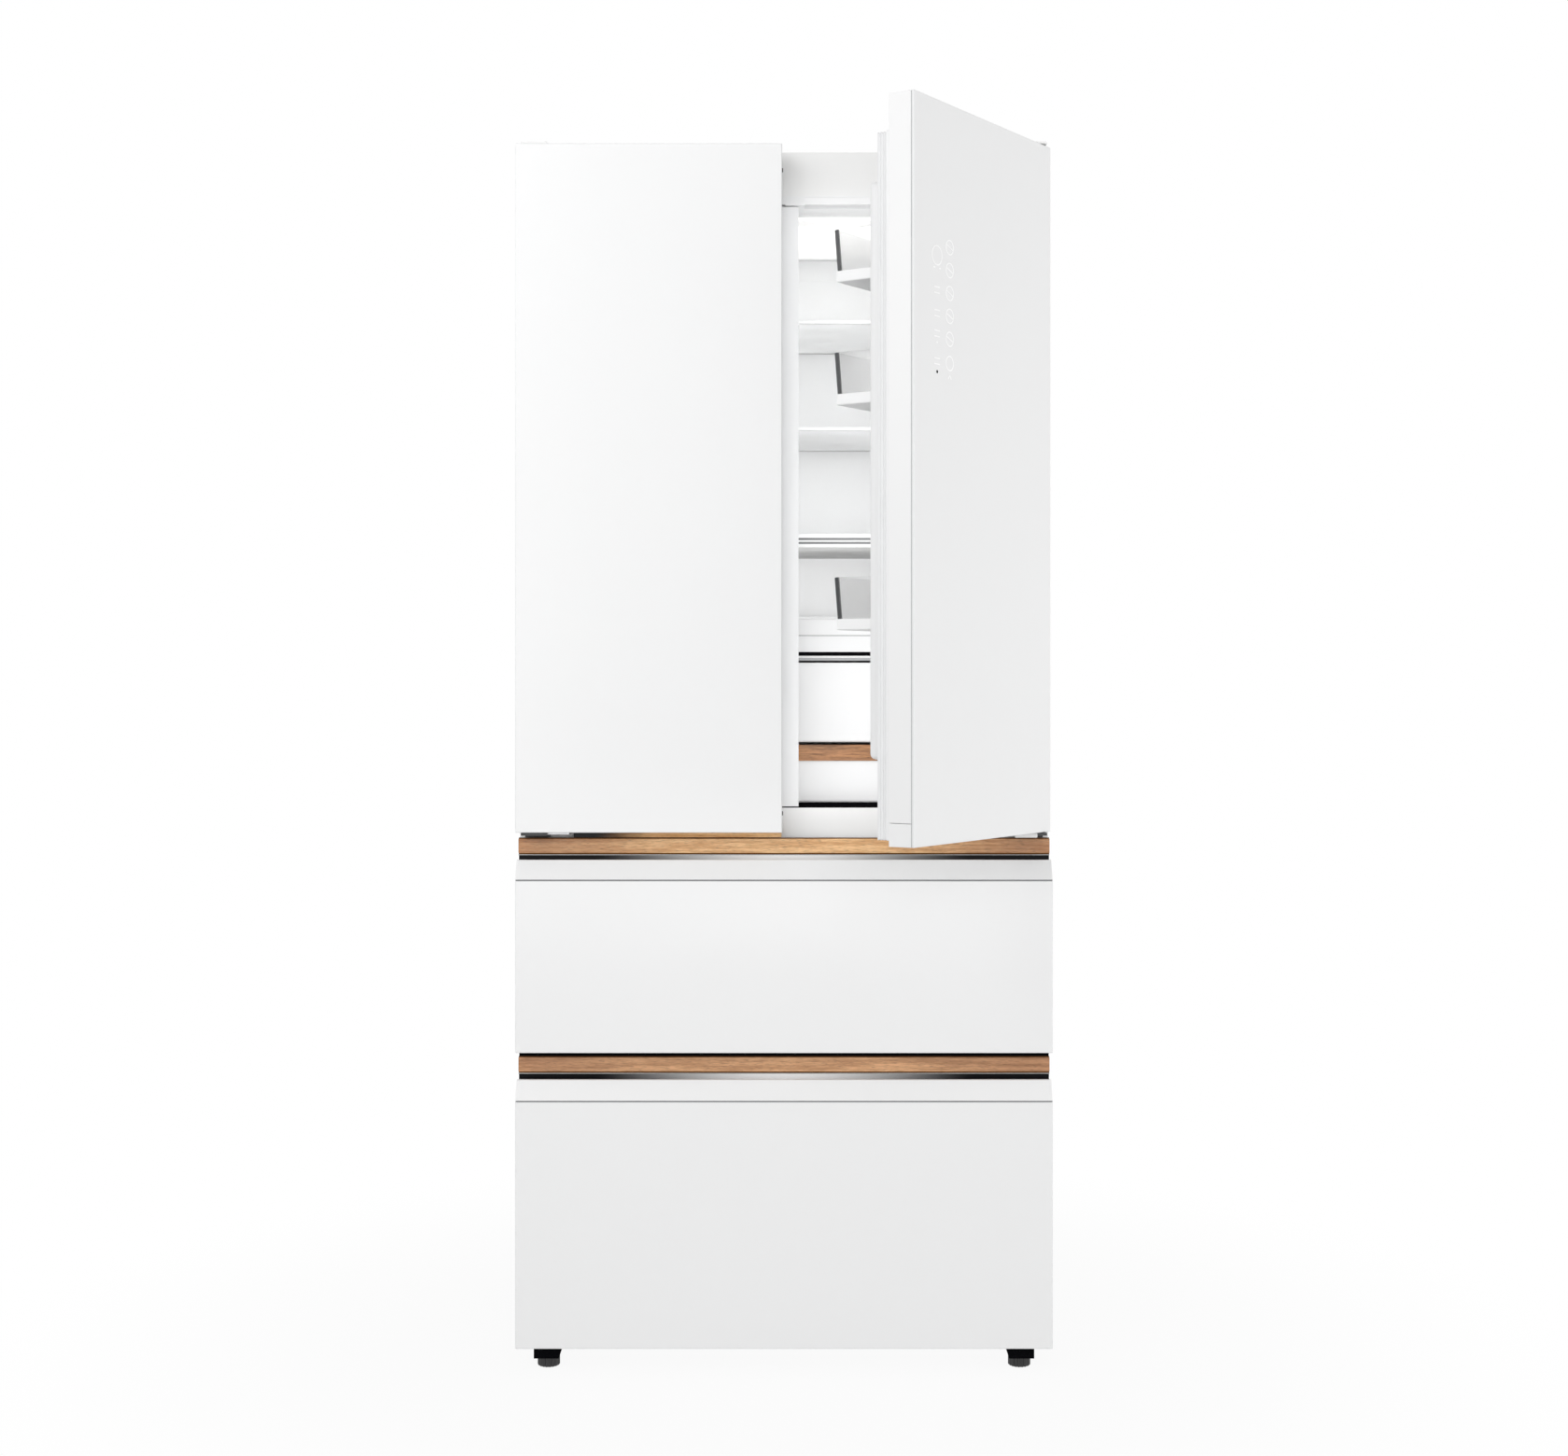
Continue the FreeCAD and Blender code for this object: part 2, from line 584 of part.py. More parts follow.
def liners():
    """The three compartments, each a moulded box open at the front, with ribs that carry what is inside."""
    shell = block(
        both("liner_half"),
        ("flange", "fridge_back + liner_wall"),
        ("fridge_bottom - liner_wall", "header_top + liner_wall"),
    )
    room = block(both("opening_half"), ("flange", "fridge_back"), ("fridge_bottom", "fridge_top"))
    header = block(both("opening_half"), ("flange", "header_back"), ("fridge_bottom", "header_top"))
    ribs = [cut(shell, join(room, header))]
    carried = [
        ("upper_shelf - shelf_glass_wall", "rib_width", "shelf_y + trim_depth"),
        ("middle_shelf - shelf_glass_wall", "rib_width", "shelf_y + trim_depth"),
        ("lower_shelf - shelf_glass_wall", "rib_width", "shelf_y + trim_depth"),
        ("cover_plate_top - shelf_glass_wall", "rib_width", "shelf_y + trim_depth"),
        ("chill_bottom - tub_lift", "chill_rib_width", "tub_y + tub_wall"),
    ]
    for top, reach, start in carried:
        rib_z = (f"{top} - rib_height", top)
        for span in both_sides(f"opening_half - {reach}", "opening_half"):
            ribs.append(block(span, (start, "fridge_back"), rib_z))
    runner = "opening_half - crisper_runner_inset"
    runner_z = ("fridge_bottom", "crisper_bottom - tub_lift")
    for span in both_sides(runner, f"{runner} + rib_width"):
        ribs.append(block(span, ("tub_y + tub_wall", "fridge_back"), runner_z))
    piece("fridge_liner", join(*ribs))
    for name in ("upper", "lower"):
        outer = block(
            both("liner_half"),
            ("flange", f"{name}_rear + liner_wall"),
            (f"{name}_floor - liner_wall", f"{name}_roof + liner_wall"),
        )
        inner = block(both("opening_half"), ("flange", f"{name}_rear"), (f"{name}_floor", f"{name}_roof"))
        piece(f"{name}_drawer_liner", cut(outer, inner))


BEAMS = {
    "upper_crossbeam": ("upper_roof + liner_wall", "fridge_bottom - liner_wall"),
    "lower_crossbeam": ("lower_roof + liner_wall", "upper_floor - liner_wall"),
}


def crossbeams():
    """Folded steel rails between the compartments, open to the rear."""
    for name, (low, high) in BEAMS.items():
        outer = block(both("liner_half"), ("flange", "flange + beam_depth"), (low, high))
        inner = block(
            both("liner_half - beam_wall"),
            ("flange + beam_wall", "flange + beam_depth"),
            (f"{low} + beam_wall", f"{high} - beam_wall"),
        )
        piece(name, cut(outer, inner))


def insulation():
    """Foam that fills the walls between the steel and the liners."""
    inner_half = "half_width - sheet_wall"
    fill = block(both(inner_half), ("flange + sheet_wall", "back - sheet_wall"), ("base_top", "sheet_top"))
    rooms = [
        block(
            both("liner_half"),
            ("flange", "fridge_back + liner_wall"),
            ("fridge_bottom - liner_wall", "header_top + liner_wall"),
        ),
        block(both("half_width"), ("bay_front", "back"), ("base_bottom", "bay_roof + sheet_wall")),
        block(
            both("evaporator_half + evaporator_room"),
            ("evaporator_front - evaporator_room", "evaporator_front + evaporator_depth + evaporator_room"),
            ("evaporator_bottom", "evaporator_bottom + evaporator_height + evaporator_room"),
        ),
    ]
    for name in ("upper", "lower"):
        low = f"{name}_floor - liner_wall"
        high = f"{name}_roof + liner_wall"
        rooms.append(block(both("liner_half"), ("flange", f"{name}_rear + liner_wall"), (low, high)))
    for low, high in BEAMS.values():
        rooms.append(block(both("liner_half"), ("flange", "flange + beam_depth"), (low, high)))
    for room in rooms:
        fill = cut(fill, room)
    piece("insulation_foam", fill)


def hinges():
    """Top plates and lower brackets, each with its pin, then the screws and the covers on top."""
    tops, lowers, screws, covers = [], [], [], []
    hole = "screw_radius + screw_slack"
    for axis in ("pivot_x", "0 - pivot_x"):
        span = (f"{axis} - plate_half", f"{axis} + plate_half")
        plate = block(span, ("pivot_y - plate_nose", "flange + plate_reach"), ("height", "plate_top"))
        pin_end = "door_top - pin_depth"
        pin = rod("pin_radius", (axis, "pivot_y", pin_end), f"plate_top - ({pin_end})")
        spots = [(axis, "flange + screw_first"), (axis, "flange + screw_first + screw_pitch")]
        holes = [rod(hole, (x, y, "height"), "plate_wall") for x, y in spots]
        tops.append(cut(join(plate, pin), *holes))
        for x, y in spots:
            shank = rod("screw_radius", (x, y, "height"), "plate_wall")
            screws.append(join(shank, rod("head_radius", (x, y, "plate_top"), "head_height")))
        shelf = block(span, ("pivot_y - plate_nose", "flange"), ("bracket_bottom", "bracket_top"))
        tab_y = ("flange - bracket_wall", "flange")
        tab = block(span, tab_y, ("bracket_bottom - bracket_drop", "bracket_top"))
        post_height = "door_bottom + pin_depth - bracket_bottom"
        post = rod("pin_radius", (axis, "pivot_y", "bracket_bottom"), post_height)
        drop = "bracket_bottom - tab_screw_drop"
        spots = [f"{axis} - tab_screw_half", f"{axis} + tab_screw_half"]
        holes = [rod(hole, (x, "flange - bracket_wall", drop), "bracket_wall", "y") for x in spots]
        lowers.append(cut(join(shelf, tab, post), *holes))
        for x in spots:
            shank = rod("screw_radius", (x, "flange - bracket_wall", drop), "bracket_wall", "y")
            head = rod("head_radius", (x, "flange - bracket_wall - head_height", drop), "head_height", "y")
            screws.append(join(shank, head))
        low = f"{span[0]} - cover_gap"
        high = f"{span[1]} + cover_gap"
        nose = "flange + cover_front"
        tail = "flange + plate_reach + cover_gap"
        hood = block((low, high), (nose, tail), ("height", "height + cover_height"))
        room = block(
            (f"{low} + cover_wall", f"{high} - cover_wall"),
            (f"{nose} + cover_wall", f"{tail} - cover_wall"),
            ("height", "height + cover_height - cover_wall"),
        )
        notch_x = (f"{span[0]} - screw_slack", f"{span[1]} + screw_slack")
        notch = block(notch_x, (nose, f"{nose} + cover_wall"), ("height", "plate_top + screw_slack"))
        covers.append(cut(hood, room, notch))
    piece("top_hinges", group(*tops))
    piece("mid_hinges", group(*lowers))
    piece("hinge_screws", group(*screws))
    piece("hinge_covers", group(*covers))


def door_span(side, low, high):
    """Across a door about its hinge axis, from two distances off its hinge-side edge."""
    if side == "right":
        return f"pivot_inset - ({high})", f"pivot_inset - ({low})"
    return f"{low} - pivot_inset", f"{high} - pivot_inset"


def off_pivot(place):
    """A place behind the front, measured from the hinge axis."""
    return f"{place} - pivot_y"


def door(side):
    """Glass, case, inner liner with its raised rim, gasket and three bins, drawn about the hinge axis."""
    whole = door_span(side, "0", "door_width")
    tall = ("door_bottom", "door_top")
    glass_y = (off_pivot("front"), off_pivot("case_front"))
    hang(f"{side}_door_glass", block(whole, glass_y, tall), side)
    case = block(whole, (off_pivot("case_front"), off_pivot("case_back")), tall)
    depth = "pin_depth + pin_end_gap"
    low_hole = rod("pin_hole", ("0", "0", "door_bottom"), depth)
    high_hole = rod("pin_hole", ("0", "0", f"door_top - ({depth})"), depth)
    hang(f"{side}_door_case", cut(case, low_hole, high_hole), side)
    step_x = door_span(side, "step_margin", "door_width - step_margin")
    step = block(step_x, (off_pivot("case_back"), off_pivot("step_back")), ("step_bottom", "step_top"))
    rim_x = door_span(side, "rim_hinge_margin", "door_width - rim_margin")
    rim_y = (off_pivot("step_back"), off_pivot("step_back + rim_depth"))
    rim = ring(rim_x, rim_y, ("rim_bottom", "rim_top"), "rim_wall")
    parts = [step, rim]
    if side == "left":
        parts += mullion_lugs(rim_x[1])
    hang(f"{side}_door_liner", join(*parts), side)
    gasket_x = door_span(side, "gasket_hinge_margin", "door_width - gasket_margin")
    gasket_y = (off_pivot("step_back"), off_pivot("gasket_back"))
    gasket = ring(gasket_x, gasket_y, ("step_bottom", "step_top"), "gasket_width")
    hang(f"{side}_door_gasket", gasket, side)
    clear = "rim_wall + bin_gap"
    bin_x = door_span(side, f"rim_hinge_margin + {clear}", f"door_width - rim_margin - ({clear})")
    bin_start = off_pivot("step_back + bin_gap")
    bin_y = (bin_start, f"{bin_start} + bin_depth")
    bins = []
    for low in ("top_bin", "middle_bin", "low_bin"):
        outer = block(bin_x, bin_y, (low, f"{low} + bin_height"))
        inner = block(
            (f"{bin_x[0]} + bin_wall", f"{bin_x[1]} - bin_wall"),
            (f"{bin_y[0]} + bin_wall", f"{bin_y[1]} - bin_wall"),
            (f"{low} + bin_base", f"{low} + bin_height"),
        )
        bins.append(cut(outer, inner))
    hang(f"{side}_door_bins", group(*bins), side)


def mullion_lugs(rim_side):
    """Two lugs with pins on the left liner's rim, about the left door's hinge axis."""
    axis_x = "pivot_x - mullion_pivot"
    axis_y = off_pivot("mullion_axis_y")
    lug_x = (rim_side, axis_x)
    lug_y = (f"{axis_y} - knuckle_radius + lug_gap", f"{axis_y} + lug_pin_radius")
    reach = "lug_height + lug_gap + knuckle_height - pin_end_gap"
    low_pin = rod("lug_pin_radius", (axis_x, axis_y, "low_lug"), reach)
    high_pin = rod("lug_pin_radius", (axis_x, axis_y, f"high_lug + lug_height - ({reach})"), reach)
    made = [low_pin, high_pin]
    for start in ("low_lug", "high_lug"):
        made.append(block(lug_x, lug_y, (start, f"{start} + lug_height")))
        made.append(rod("knuckle_radius - lug_gap", (axis_x, axis_y, start), "lug_height"))
    return made


def mullion():
    """Folding bar that seals the middle, with two knuckles and a slot, and the block whose pin guides it."""
    axis_x = "0 - mullion_pivot"
    edge = "knuckle_radius - mullion_pivot"
    bar_y = ("flange", "flange + mullion_wall")
    parts = [block((edge, "mullion_half"), bar_y, ("mullion_bottom", "mullion_top"))]
    low = "low_lug + lug_height + lug_gap"
    high = "high_lug - lug_gap - knuckle_height"
    web_y = ("mullion_axis_y - knuckle_radius", "mullion_axis_y + knuckle_radius")
    holes = []
    for start in (low, high):
        parts.append(rod("knuckle_radius", (axis_x, "mullion_axis_y", start), "knuckle_height"))
        parts.append(block((axis_x, edge), web_y, (start, f"{start} + knuckle_height")))
        holes.append(rod("lug_pin_radius + pin_slack", (axis_x, "mullion_axis_y", start), "knuckle_height"))
    slot = block(
        ("slot_left", "slot_left + slot_width"),
        ("flange + mullion_wall - slot_depth", "flange + mullion_wall"),
        ("mullion_top - slot_height", "mullion_top"),
    )
    piece("flip_mullion", cut(join(*parts), slot, *holes))
    guide_x = ("guide_left", "guide_left + guide_width")
    guide = block(guide_x, ("flange", "header_back"), ("fridge_top", "header_top"))
    pin_end = "mullion_top - slot_height + pin_end_gap"
    pin = rod("guide_pin_radius", ("guide_pin_x", "guide_pin_y", pin_end), f"header_top - ({pin_end})")
    piece("mullion_guide", join(guide, pin))


def shelves():
    """Three glass shelves on the liner's ribs, with front trims, and the cover over the inner drawers."""
    glass, trims = [], []
    tops = {"upper_shelf": "trim_height", "middle_shelf": "trim_height", "lower_shelf": "deep_trim_height"}
    for top, drop in tops.items():
        glass_z = (f"{top} - shelf_glass_wall", top)
        glass.append(block(both("shelf_half"), ("shelf_y + trim_depth", "shelf_back"), glass_z))
        trims.append(block(both("shelf_half"), ("shelf_y", "shelf_y + trim_depth"), (f"{top} - {drop}", top)))
    piece("shelf_glass", group(*glass))
    piece("shelf_trims", group(*trims))
    cover_points = [
        ("shelf_y", "fascia_top - fascia_height"),
        ("shelf_y + fascia_wall", "fascia_top - fascia_height"),
        ("shelf_y + fascia_wall", "cover_plate_top - shelf_glass_wall"),
        ("shelf_back", "cover_plate_top - shelf_glass_wall"),
        ("shelf_back", "cover_plate_top"),
        ("shelf_y + fascia_wall", "cover_plate_top"),
        ("shelf_y + fascia_wall", "fascia_top"),
        ("shelf_y", "fascia_top"),
    ]
    piece("crisper_cover", extrusion("YZ_Plane", cover_points, "0 - shelf_half", "shelf_half"))


def tub(low, height):
    """An open-topped inner drawer."""
    outer = block(both("tub_half"), ("tub_y", "tub_back"), (low, f"{low} + {height}"))
    inner = block(
        both("tub_half - tub_wall"),
        ("tub_y + tub_wall", "tub_back - tub_wall"),
        (f"{low} + tub_wall", f"{low} + {height}"),
    )
    return cut(outer, inner)


def inner_drawers():
    """Chill drawer over the crisper, whose front carries a wood strip."""
    piece("chill_drawer", tub("chill_bottom", "chill_height"))
    piece("crisper_drawer", tub("crisper_bottom", "crisper_height"))
    strip_z = ("inner_strip_bottom", "inner_strip_bottom + inner_strip_height")
    piece("crisper_trim", block(both("tub_half"), ("tub_y - inner_strip_wall", "tub_y"), strip_z))


def inner_fittings():
    """Ceiling lamp and the vented cover of the rear air duct."""
    lamp_y = ("flange + lamp_front", "flange + lamp_front + lamp_depth")
    piece("ceiling_lamp", block(both("lamp_half"), lamp_y, ("fridge_top - lamp_wall", "fridge_top")))
    duct_y = ("fridge_back - duct_wall", "fridge_back")
    cover = block(both("duct_half"), duct_y, ("duct_bottom", "duct_top"))
    vents = []
    for shelf in ("upper_shelf", "middle_shelf", "lower_shelf"):
        for step in range(int(number("vent_rows"))):
            low = f"{shelf} + vent_first + {step} * vent_pitch"
            vent_z = (low, f"{low} + vent_height")
            vents.append(block(("vent_outer - vent_width", "vent_outer"), duct_y, vent_z))
            vents.append(block(("0 - vent_outer", "vent_width - vent_outer"), duct_y, vent_z))
    piece("duct_cover", cut(cover, *vents))


def drawer(name):
    """Glass, case with the bevelled pull, wood strip, gasket, basket and telescopic rails of one drawer."""
    low = f"{name}_bottom"
    top = f"{name}_top"
    foot = f"{top} - lip_height"
    strip_low = f"{top} + strip_gap"
    strip_top = f"{strip_low} + strip_height"
    full = ("0 - half_width", "half_width")
    piece(f"{name}_drawer_glass", block(full, ("front", "case_front"), (low, f"{foot} - lip_line")))
    section = [
        ("case_front", low),
        ("case_front", foot),
        ("front", foot),
        ("front + lip_lean", top),
        ("lip_back", top),
        ("lip_back", f"{top} - pull_depth"),
        ("pull_back", f"{top} - pull_depth"),
        ("pull_back", strip_top),
        ("pull_back + pull_wall", strip_top),
        ("pull_back + pull_wall", f"{top} - pull_depth - pull_floor"),
        ("case_back", f"{top} - pull_depth - pull_floor"),
        ("case_back", low),
    ]
    case = extrusion("YZ_Plane", section, *full)
    step_z = (f"{low} + front_step_margin", f"{foot} - lip_line")
    step = block(both("half_width - front_step_margin"), ("case_back", "step_back"), step_z)
    piece(f"{name}_drawer_case", join(case, step))
    strip = [
        ("pull_back - strip_wall - strip_lean", strip_low),
        ("pull_back", strip_low),
        ("pull_back", strip_top),
        ("pull_back - strip_wall", strip_top),
    ]
    piece(f"{name}_drawer_strip", extrusion("YZ_Plane", strip, *full))
    gasket_z = (f"{low} + front_gasket_margin", f"{foot} - front_gasket_drop")
    gasket_x = both("half_width - front_gasket_margin")
    piece(f"{name}_drawer_gasket", ring(gasket_x, ("step_back", "gasket_back"), gasket_z, "gasket_width"))
    basket_low = f"{name}_floor + basket_lift"
    basket_y = ("step_back", f"{name}_rear - basket_back_gap")
    basket_z = (basket_low, f"{basket_low} + {name}_basket_height")
    outer = block(both("rail_inner"), basket_y, basket_z)
    inner = block(
        both("rail_inner - basket_wall"),
        (f"{basket_y[0]} + basket_wall", f"{basket_y[1]} - basket_wall"),
        (f"{basket_z[0]} + basket_wall", basket_z[1]),
    )
    piece(f"{name}_drawer_basket", cut(outer, inner))
    return rails(name)


def channel(outer_x, inner_x, y, low, high, open_side):
    """A C-shaped rail along Y with its web on one side and its lips on the other."""
    shell = block((inner_x, outer_x), y, (low, high))
    if open_side == "inner":
        room_x = (inner_x, f"{outer_x} - rail_wall")
    else:
        room_x = (f"{inner_x} + rail_wall", outer_x)
    room = block(room_x, y, (f"{low} + rail_wall", f"{high} - rail_wall"))
    return cut(shell, room)


def mirrored(thing):
    """The same piece on the left."""
    made = doc.addObject("Part::Mirroring", "Mirror")
    made.Source = thing
    made.Normal = FreeCAD.Vector(1, 0, 0)
    return made


def rails(name):
    """Fixed, middle and inner member of one drawer's slides, nested on each side."""
    y = ("flange + rail_front_gap", f"{name}_rear - rail_back_gap")
    low = f"{name}_floor + basket_lift + rail_lift"
    high = f"{low} + rail_height"
    step = "rail_wall + rail_gap"
    fixed = channel("rail_outer", "rail_outer - rail_cover", y, low, high, "inner")
    middle_outer = f"rail_outer - ({step})"
    middle_low = f"{low} + {step}"
    middle_high = f"{high} - ({step})"
    middle = channel(middle_outer, f"{middle_outer} - rail_cover", y, middle_low, middle_high, "inner")
    inner_outer = f"rail_outer - 2 * ({step})"
    inner_low = f"{low} + 2 * ({step})"
    inner_high = f"{high} - 2 * ({step})"
    inner = channel(inner_outer, "rail_inner", y, inner_low, inner_high, "outer")
    piece(f"{name}_drawer_slides", group(middle, mirrored(middle)))
    piece(f"{name}_drawer_runners", group(inner, mirrored(inner)))
    return [fixed, mirrored(fixed)]


def drawers():
    """Both drawers, with the fixed rails on the compartment walls as one set."""
    piece("fixed_rails", group(*drawer("upper"), *drawer("lower")))


def foot(side):
    """A levelling foot: a knob with grip grooves on a screw that turns in its bracket."""
    profile = [
        ("0", "0"),
        ("foot_radius", "0"),
        ("foot_radius", "foot_height"),
        ("stem_radius", "foot_height"),
        ("stem_radius", "foot_height + stem_height"),
        ("0", "foot_height + stem_height"),
    ]
    body = turned(profile)
    sketch = body.newObject("Sketcher::SketchObject", "Groove")
    plane = next(item for item in body.Origin.OriginFeatures if item.Role == "XY_Plane")
    sketch.AttachmentSupport = [(plane, "")]
    sketch.MapMode = "FlatFace"
    middle = FreeCAD.Vector(number("foot_radius"), 0, 0)
    sketch.addGeometry(Part.Circle(middle, FreeCAD.Vector(0, 0, 1), number("foot_groove")), False)
    sketch.addConstraint(Sketcher.Constraint("PointOnObject", 0, 3, -1))
    reach = sketch.addConstraint(Sketcher.Constraint("DistanceX", -1, 1, 0, 3, middle.x))
    size = sketch.addConstraint(Sketcher.Constraint("Radius", 0, number("foot_groove")))
    for index, label, text in ((reach, "reach", "foot_radius"), (size, "size", "foot_groove")):
        sketch.renameConstraint(index, label)
        sketch.setExpression(f"Constraints.{label}", formula(text))
    groove = body.newObject("PartDesign::Pocket", "Groove")
    groove.Profile = sketch
    groove.Reversed = True
    groove.setExpression("Length", formula("foot_height"))
    pattern = body.newObject("PartDesign::PolarPattern", "Grooves")
    pattern.Originals = [groove]
    pattern.Axis = (sketch, ["N_Axis"])
    pattern.Angle = 360
    pattern.setExpression("Occurrences", formula("foot_grooves"))
    body.Tip = pattern
    bind_base(body, "foot_x" if side == "right" else "0 - foot_x", "foot_y", "0")
    piece(f"{side}_foot", body)


def foot_brackets():
    """Black brackets under the base pan that reach forward over the feet, slanted on the inner side."""
    nose = "foot_y - mount_nose"
    tail = "flange + mount_reach"
    section = [
        ("foot_x + mount_outer", "mount_bottom"),
        ("foot_x + mount_outer", "mount_top"),
        ("foot_x - mount_inner", "mount_top"),
        ("foot_x - mount_inner + mount_slant", "mount_bottom"),
    ]
    bar = extrusion("XZ_Plane", section, nose, tail)
    seat_x = ("foot_x - mount_inner + mount_slant", "foot_x + mount_outer")
    seat = block(seat_x, ("flange + mount_riser", tail), ("mount_bottom", "base_bottom"))
    hole = rod("stem_radius + pin_slack", ("foot_x", "foot_y", "mount_bottom"), "base_bottom - mount_bottom")
    right = cut(join(bar, seat), hole)
    piece("foot_brackets", group(right, mirrored(right)))


def rollers():
    """Two rear rollers on the base pan's axles."""
    made = []
    for middle in ("roller_x", "0 - roller_x"):
        start = (f"{middle} - roller_width / 2", "roller_y", "roller_radius")
        wheel = rod("roller_radius", start, "roller_width", "x")
        made.append(cut(wheel, rod("axle_radius + pin_slack", start, "roller_width", "x")))
    piece("rear_rollers", group(*made))


def compressor():
    """A domed shell on a plate with four rubber feet."""
    low = "damper_height"
    shell = turned(
        [
            ("0", f"{low} + compressor_plate"),
            ("compressor_radius", f"{low} + compressor_plate"),
            ("compressor_radius", f"{low} + compressor_height - compressor_crown"),
            ("compressor_radius / 2", f"{low} + compressor_height"),
            ("0", f"{low} + compressor_height"),
        ]
    )
    half = "damper_spread + damper_radius"
    plate = block(both(half), both(half), (low, f"{low} + compressor_plate"))
    parts = [shell, plate]
    for x in ("damper_spread", "0 - damper_spread"):
        for y in ("damper_spread", "0 - damper_spread"):
            parts.append(rod("damper_radius", (x, y, "0"), "damper_height"))
    made = join(*parts)
    bind_base(made, "0 - compressor_x", "bay_middle", "base_top")
    piece("compressor", made)


def finned_coil(x, y, z, rows):
    """Thin fins across a run of straight tubes."""
    parts = []
    pitch = f"(({x[1]}) - ({x[0]}) - fin_wall) / (fin_count - 1)"
    for index in range(int(number("fin_count"))):
        low = f"{x[0]} + {index} * {pitch}"
        parts.append(block((low, f"{low} + fin_wall"), y, z))
    for row in range(rows):
        up = f"{z[0]} + (({z[1]}) - ({z[0]})) * {2 * row + 1} / {2 * rows}"
        middle = f"(({y[0]}) + ({y[1]})) / 2"
        parts.append(rod("tube_radius", (x[0], middle, up), f"({x[1]}) - ({x[0]})", "x"))
    return join(*parts)


def cold_circuit():
    """Condenser in the machine bay and evaporator behind the upper drawer."""
    deep = ("bay_middle - condenser_depth / 2", "bay_middle + condenser_depth / 2")
    condenser_x = ("condenser_left", "condenser_right")
    condenser_z = ("base_top", "base_top + condenser_height")
    piece("condenser", finned_coil(condenser_x, deep, condenser_z, 5))
    evaporator_y = ("evaporator_front", "evaporator_front + evaporator_depth")
    evaporator_z = ("evaporator_bottom", "evaporator_bottom + evaporator_height")
    piece("evaporator", finned_coil(both("evaporator_half"), evaporator_y, evaporator_z, 7))


def fan():
    """Condenser fan on its motor's shaft, and the motor on its stand."""
    body = turned([("0", "0"), ("hub_radius", "0"), ("hub_radius", "hub_length"), ("0", "hub_length")])
    blade_points = [
        ("0 - blade_half", "hub_length / 2 - blade_pitch - blade_wall / 2"),
        ("blade_half", "hub_length / 2 + blade_pitch - blade_wall / 2"),
        ("blade_half", "hub_length / 2 + blade_pitch + blade_wall / 2"),
        ("0 - blade_half", "hub_length / 2 - blade_pitch + blade_wall / 2"),
    ]
    blade = body.newObject("PartDesign::Pad", "Blade")
    blade.Profile = outline(body, "YZ_Plane", blade_points)
    blade.setExpression("Length", formula("fan_radius"))
    pattern = body.newObject("PartDesign::PolarPattern", "Blades")
    pattern.Originals = [blade]
    axis = next(item for item in body.Origin.OriginFeatures if item.Role == "Z_Axis")
    pattern.Axis = (axis, [""])
    pattern.Angle = 360
    pattern.setExpression("Occurrences", formula("fan_blades"))
    body.Tip = pattern
    body.Placement = FreeCAD.Placement(FreeCAD.Vector(), TURNS["x"])
    bind_base(body, "fan_x", "bay_middle", "fan_axis")
    bore_depth = "hub_length - shaft_end_gap"
    bore = rod("shaft_radius + pin_slack", ("fan_x", "bay_middle", "fan_axis"), bore_depth, "x")
    piece("condenser_fan", cut(body, bore))
    motor_end = "fan_x - motor_gap"
    start = (f"{motor_end} - motor_length", "bay_middle", "fan_axis")
    can = rod("motor_radius", start, "motor_length", "x")
    reach = "motor_length + motor_gap + hub_length - 2 * shaft_end_gap"
    shaft = rod("shaft_radius", start, reach, "x")
    stand_x = (f"{motor_end} - motor_length", f"{motor_end} - motor_length + motor_foot_wall")
    stand_y = ("bay_middle - motor_foot_half", "bay_middle + motor_foot_half")
    stand = block(stand_x, stand_y, ("base_top", "fan_axis"))
    piece("fan_motor", join(can, shaft, stand))


def machine_cover():
    """Vented cover of the machine bay, with the gland where the cord enters."""
    x = both("half_width - sheet_wall - bay_cover_gap")
    y = ("back - sheet_wall - bay_cover_wall", "back - sheet_wall")
    plate = block(x, y, ("base_top", "bay_roof - bay_cover_gap"))
    start = ("gland_x", "back - sheet_wall - gland_depth", "base_top + gland_lift")
    tube = rod("gland_radius", start, "gland_depth", "y")
    tools = [rod("gland_bore", start, "gland_depth", "y")]
    for index in range(int(number("bay_vents"))):
        low = f"base_top + gland_lift + {index} * bay_vent_pitch"
        tools.append(block(both("bay_vent_half"), y, (low, f"{low} + vent_height")))
    piece("machine_cover", cut(join(plate, tube), *tools))


cabinet_panels()
liners()
crossbeams()
insulation()
hinges()
door("left")
door("right")
mullion()
shelves()
inner_drawers()
inner_fittings()
drawers()
foot("left")
foot("right")
foot_brackets()
rollers()
compressor()
cold_circuit()
fan()
machine_cover()
doc.recompute()

for thing in doc.Objects:
    if "Invalid" in thing.State or "Error" in thing.State:
        raise SystemExit(f"{thing.Label} failed: {thing.State}")
os.makedirs("parts", exist_ok=True)
for thing in pieces:
    if thing.Shape.isNull() or not thing.Shape.isValid():
        raise SystemExit(f"{thing.Label} has no valid shape")
for thing in pieces:
    thing.Shape.exportStep(f"parts/{thing.Label}.step")
print(len(pieces), "pieces written")
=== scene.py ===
import bmesh
import bpy
import json
import math
from mathutils import Matrix, Vector

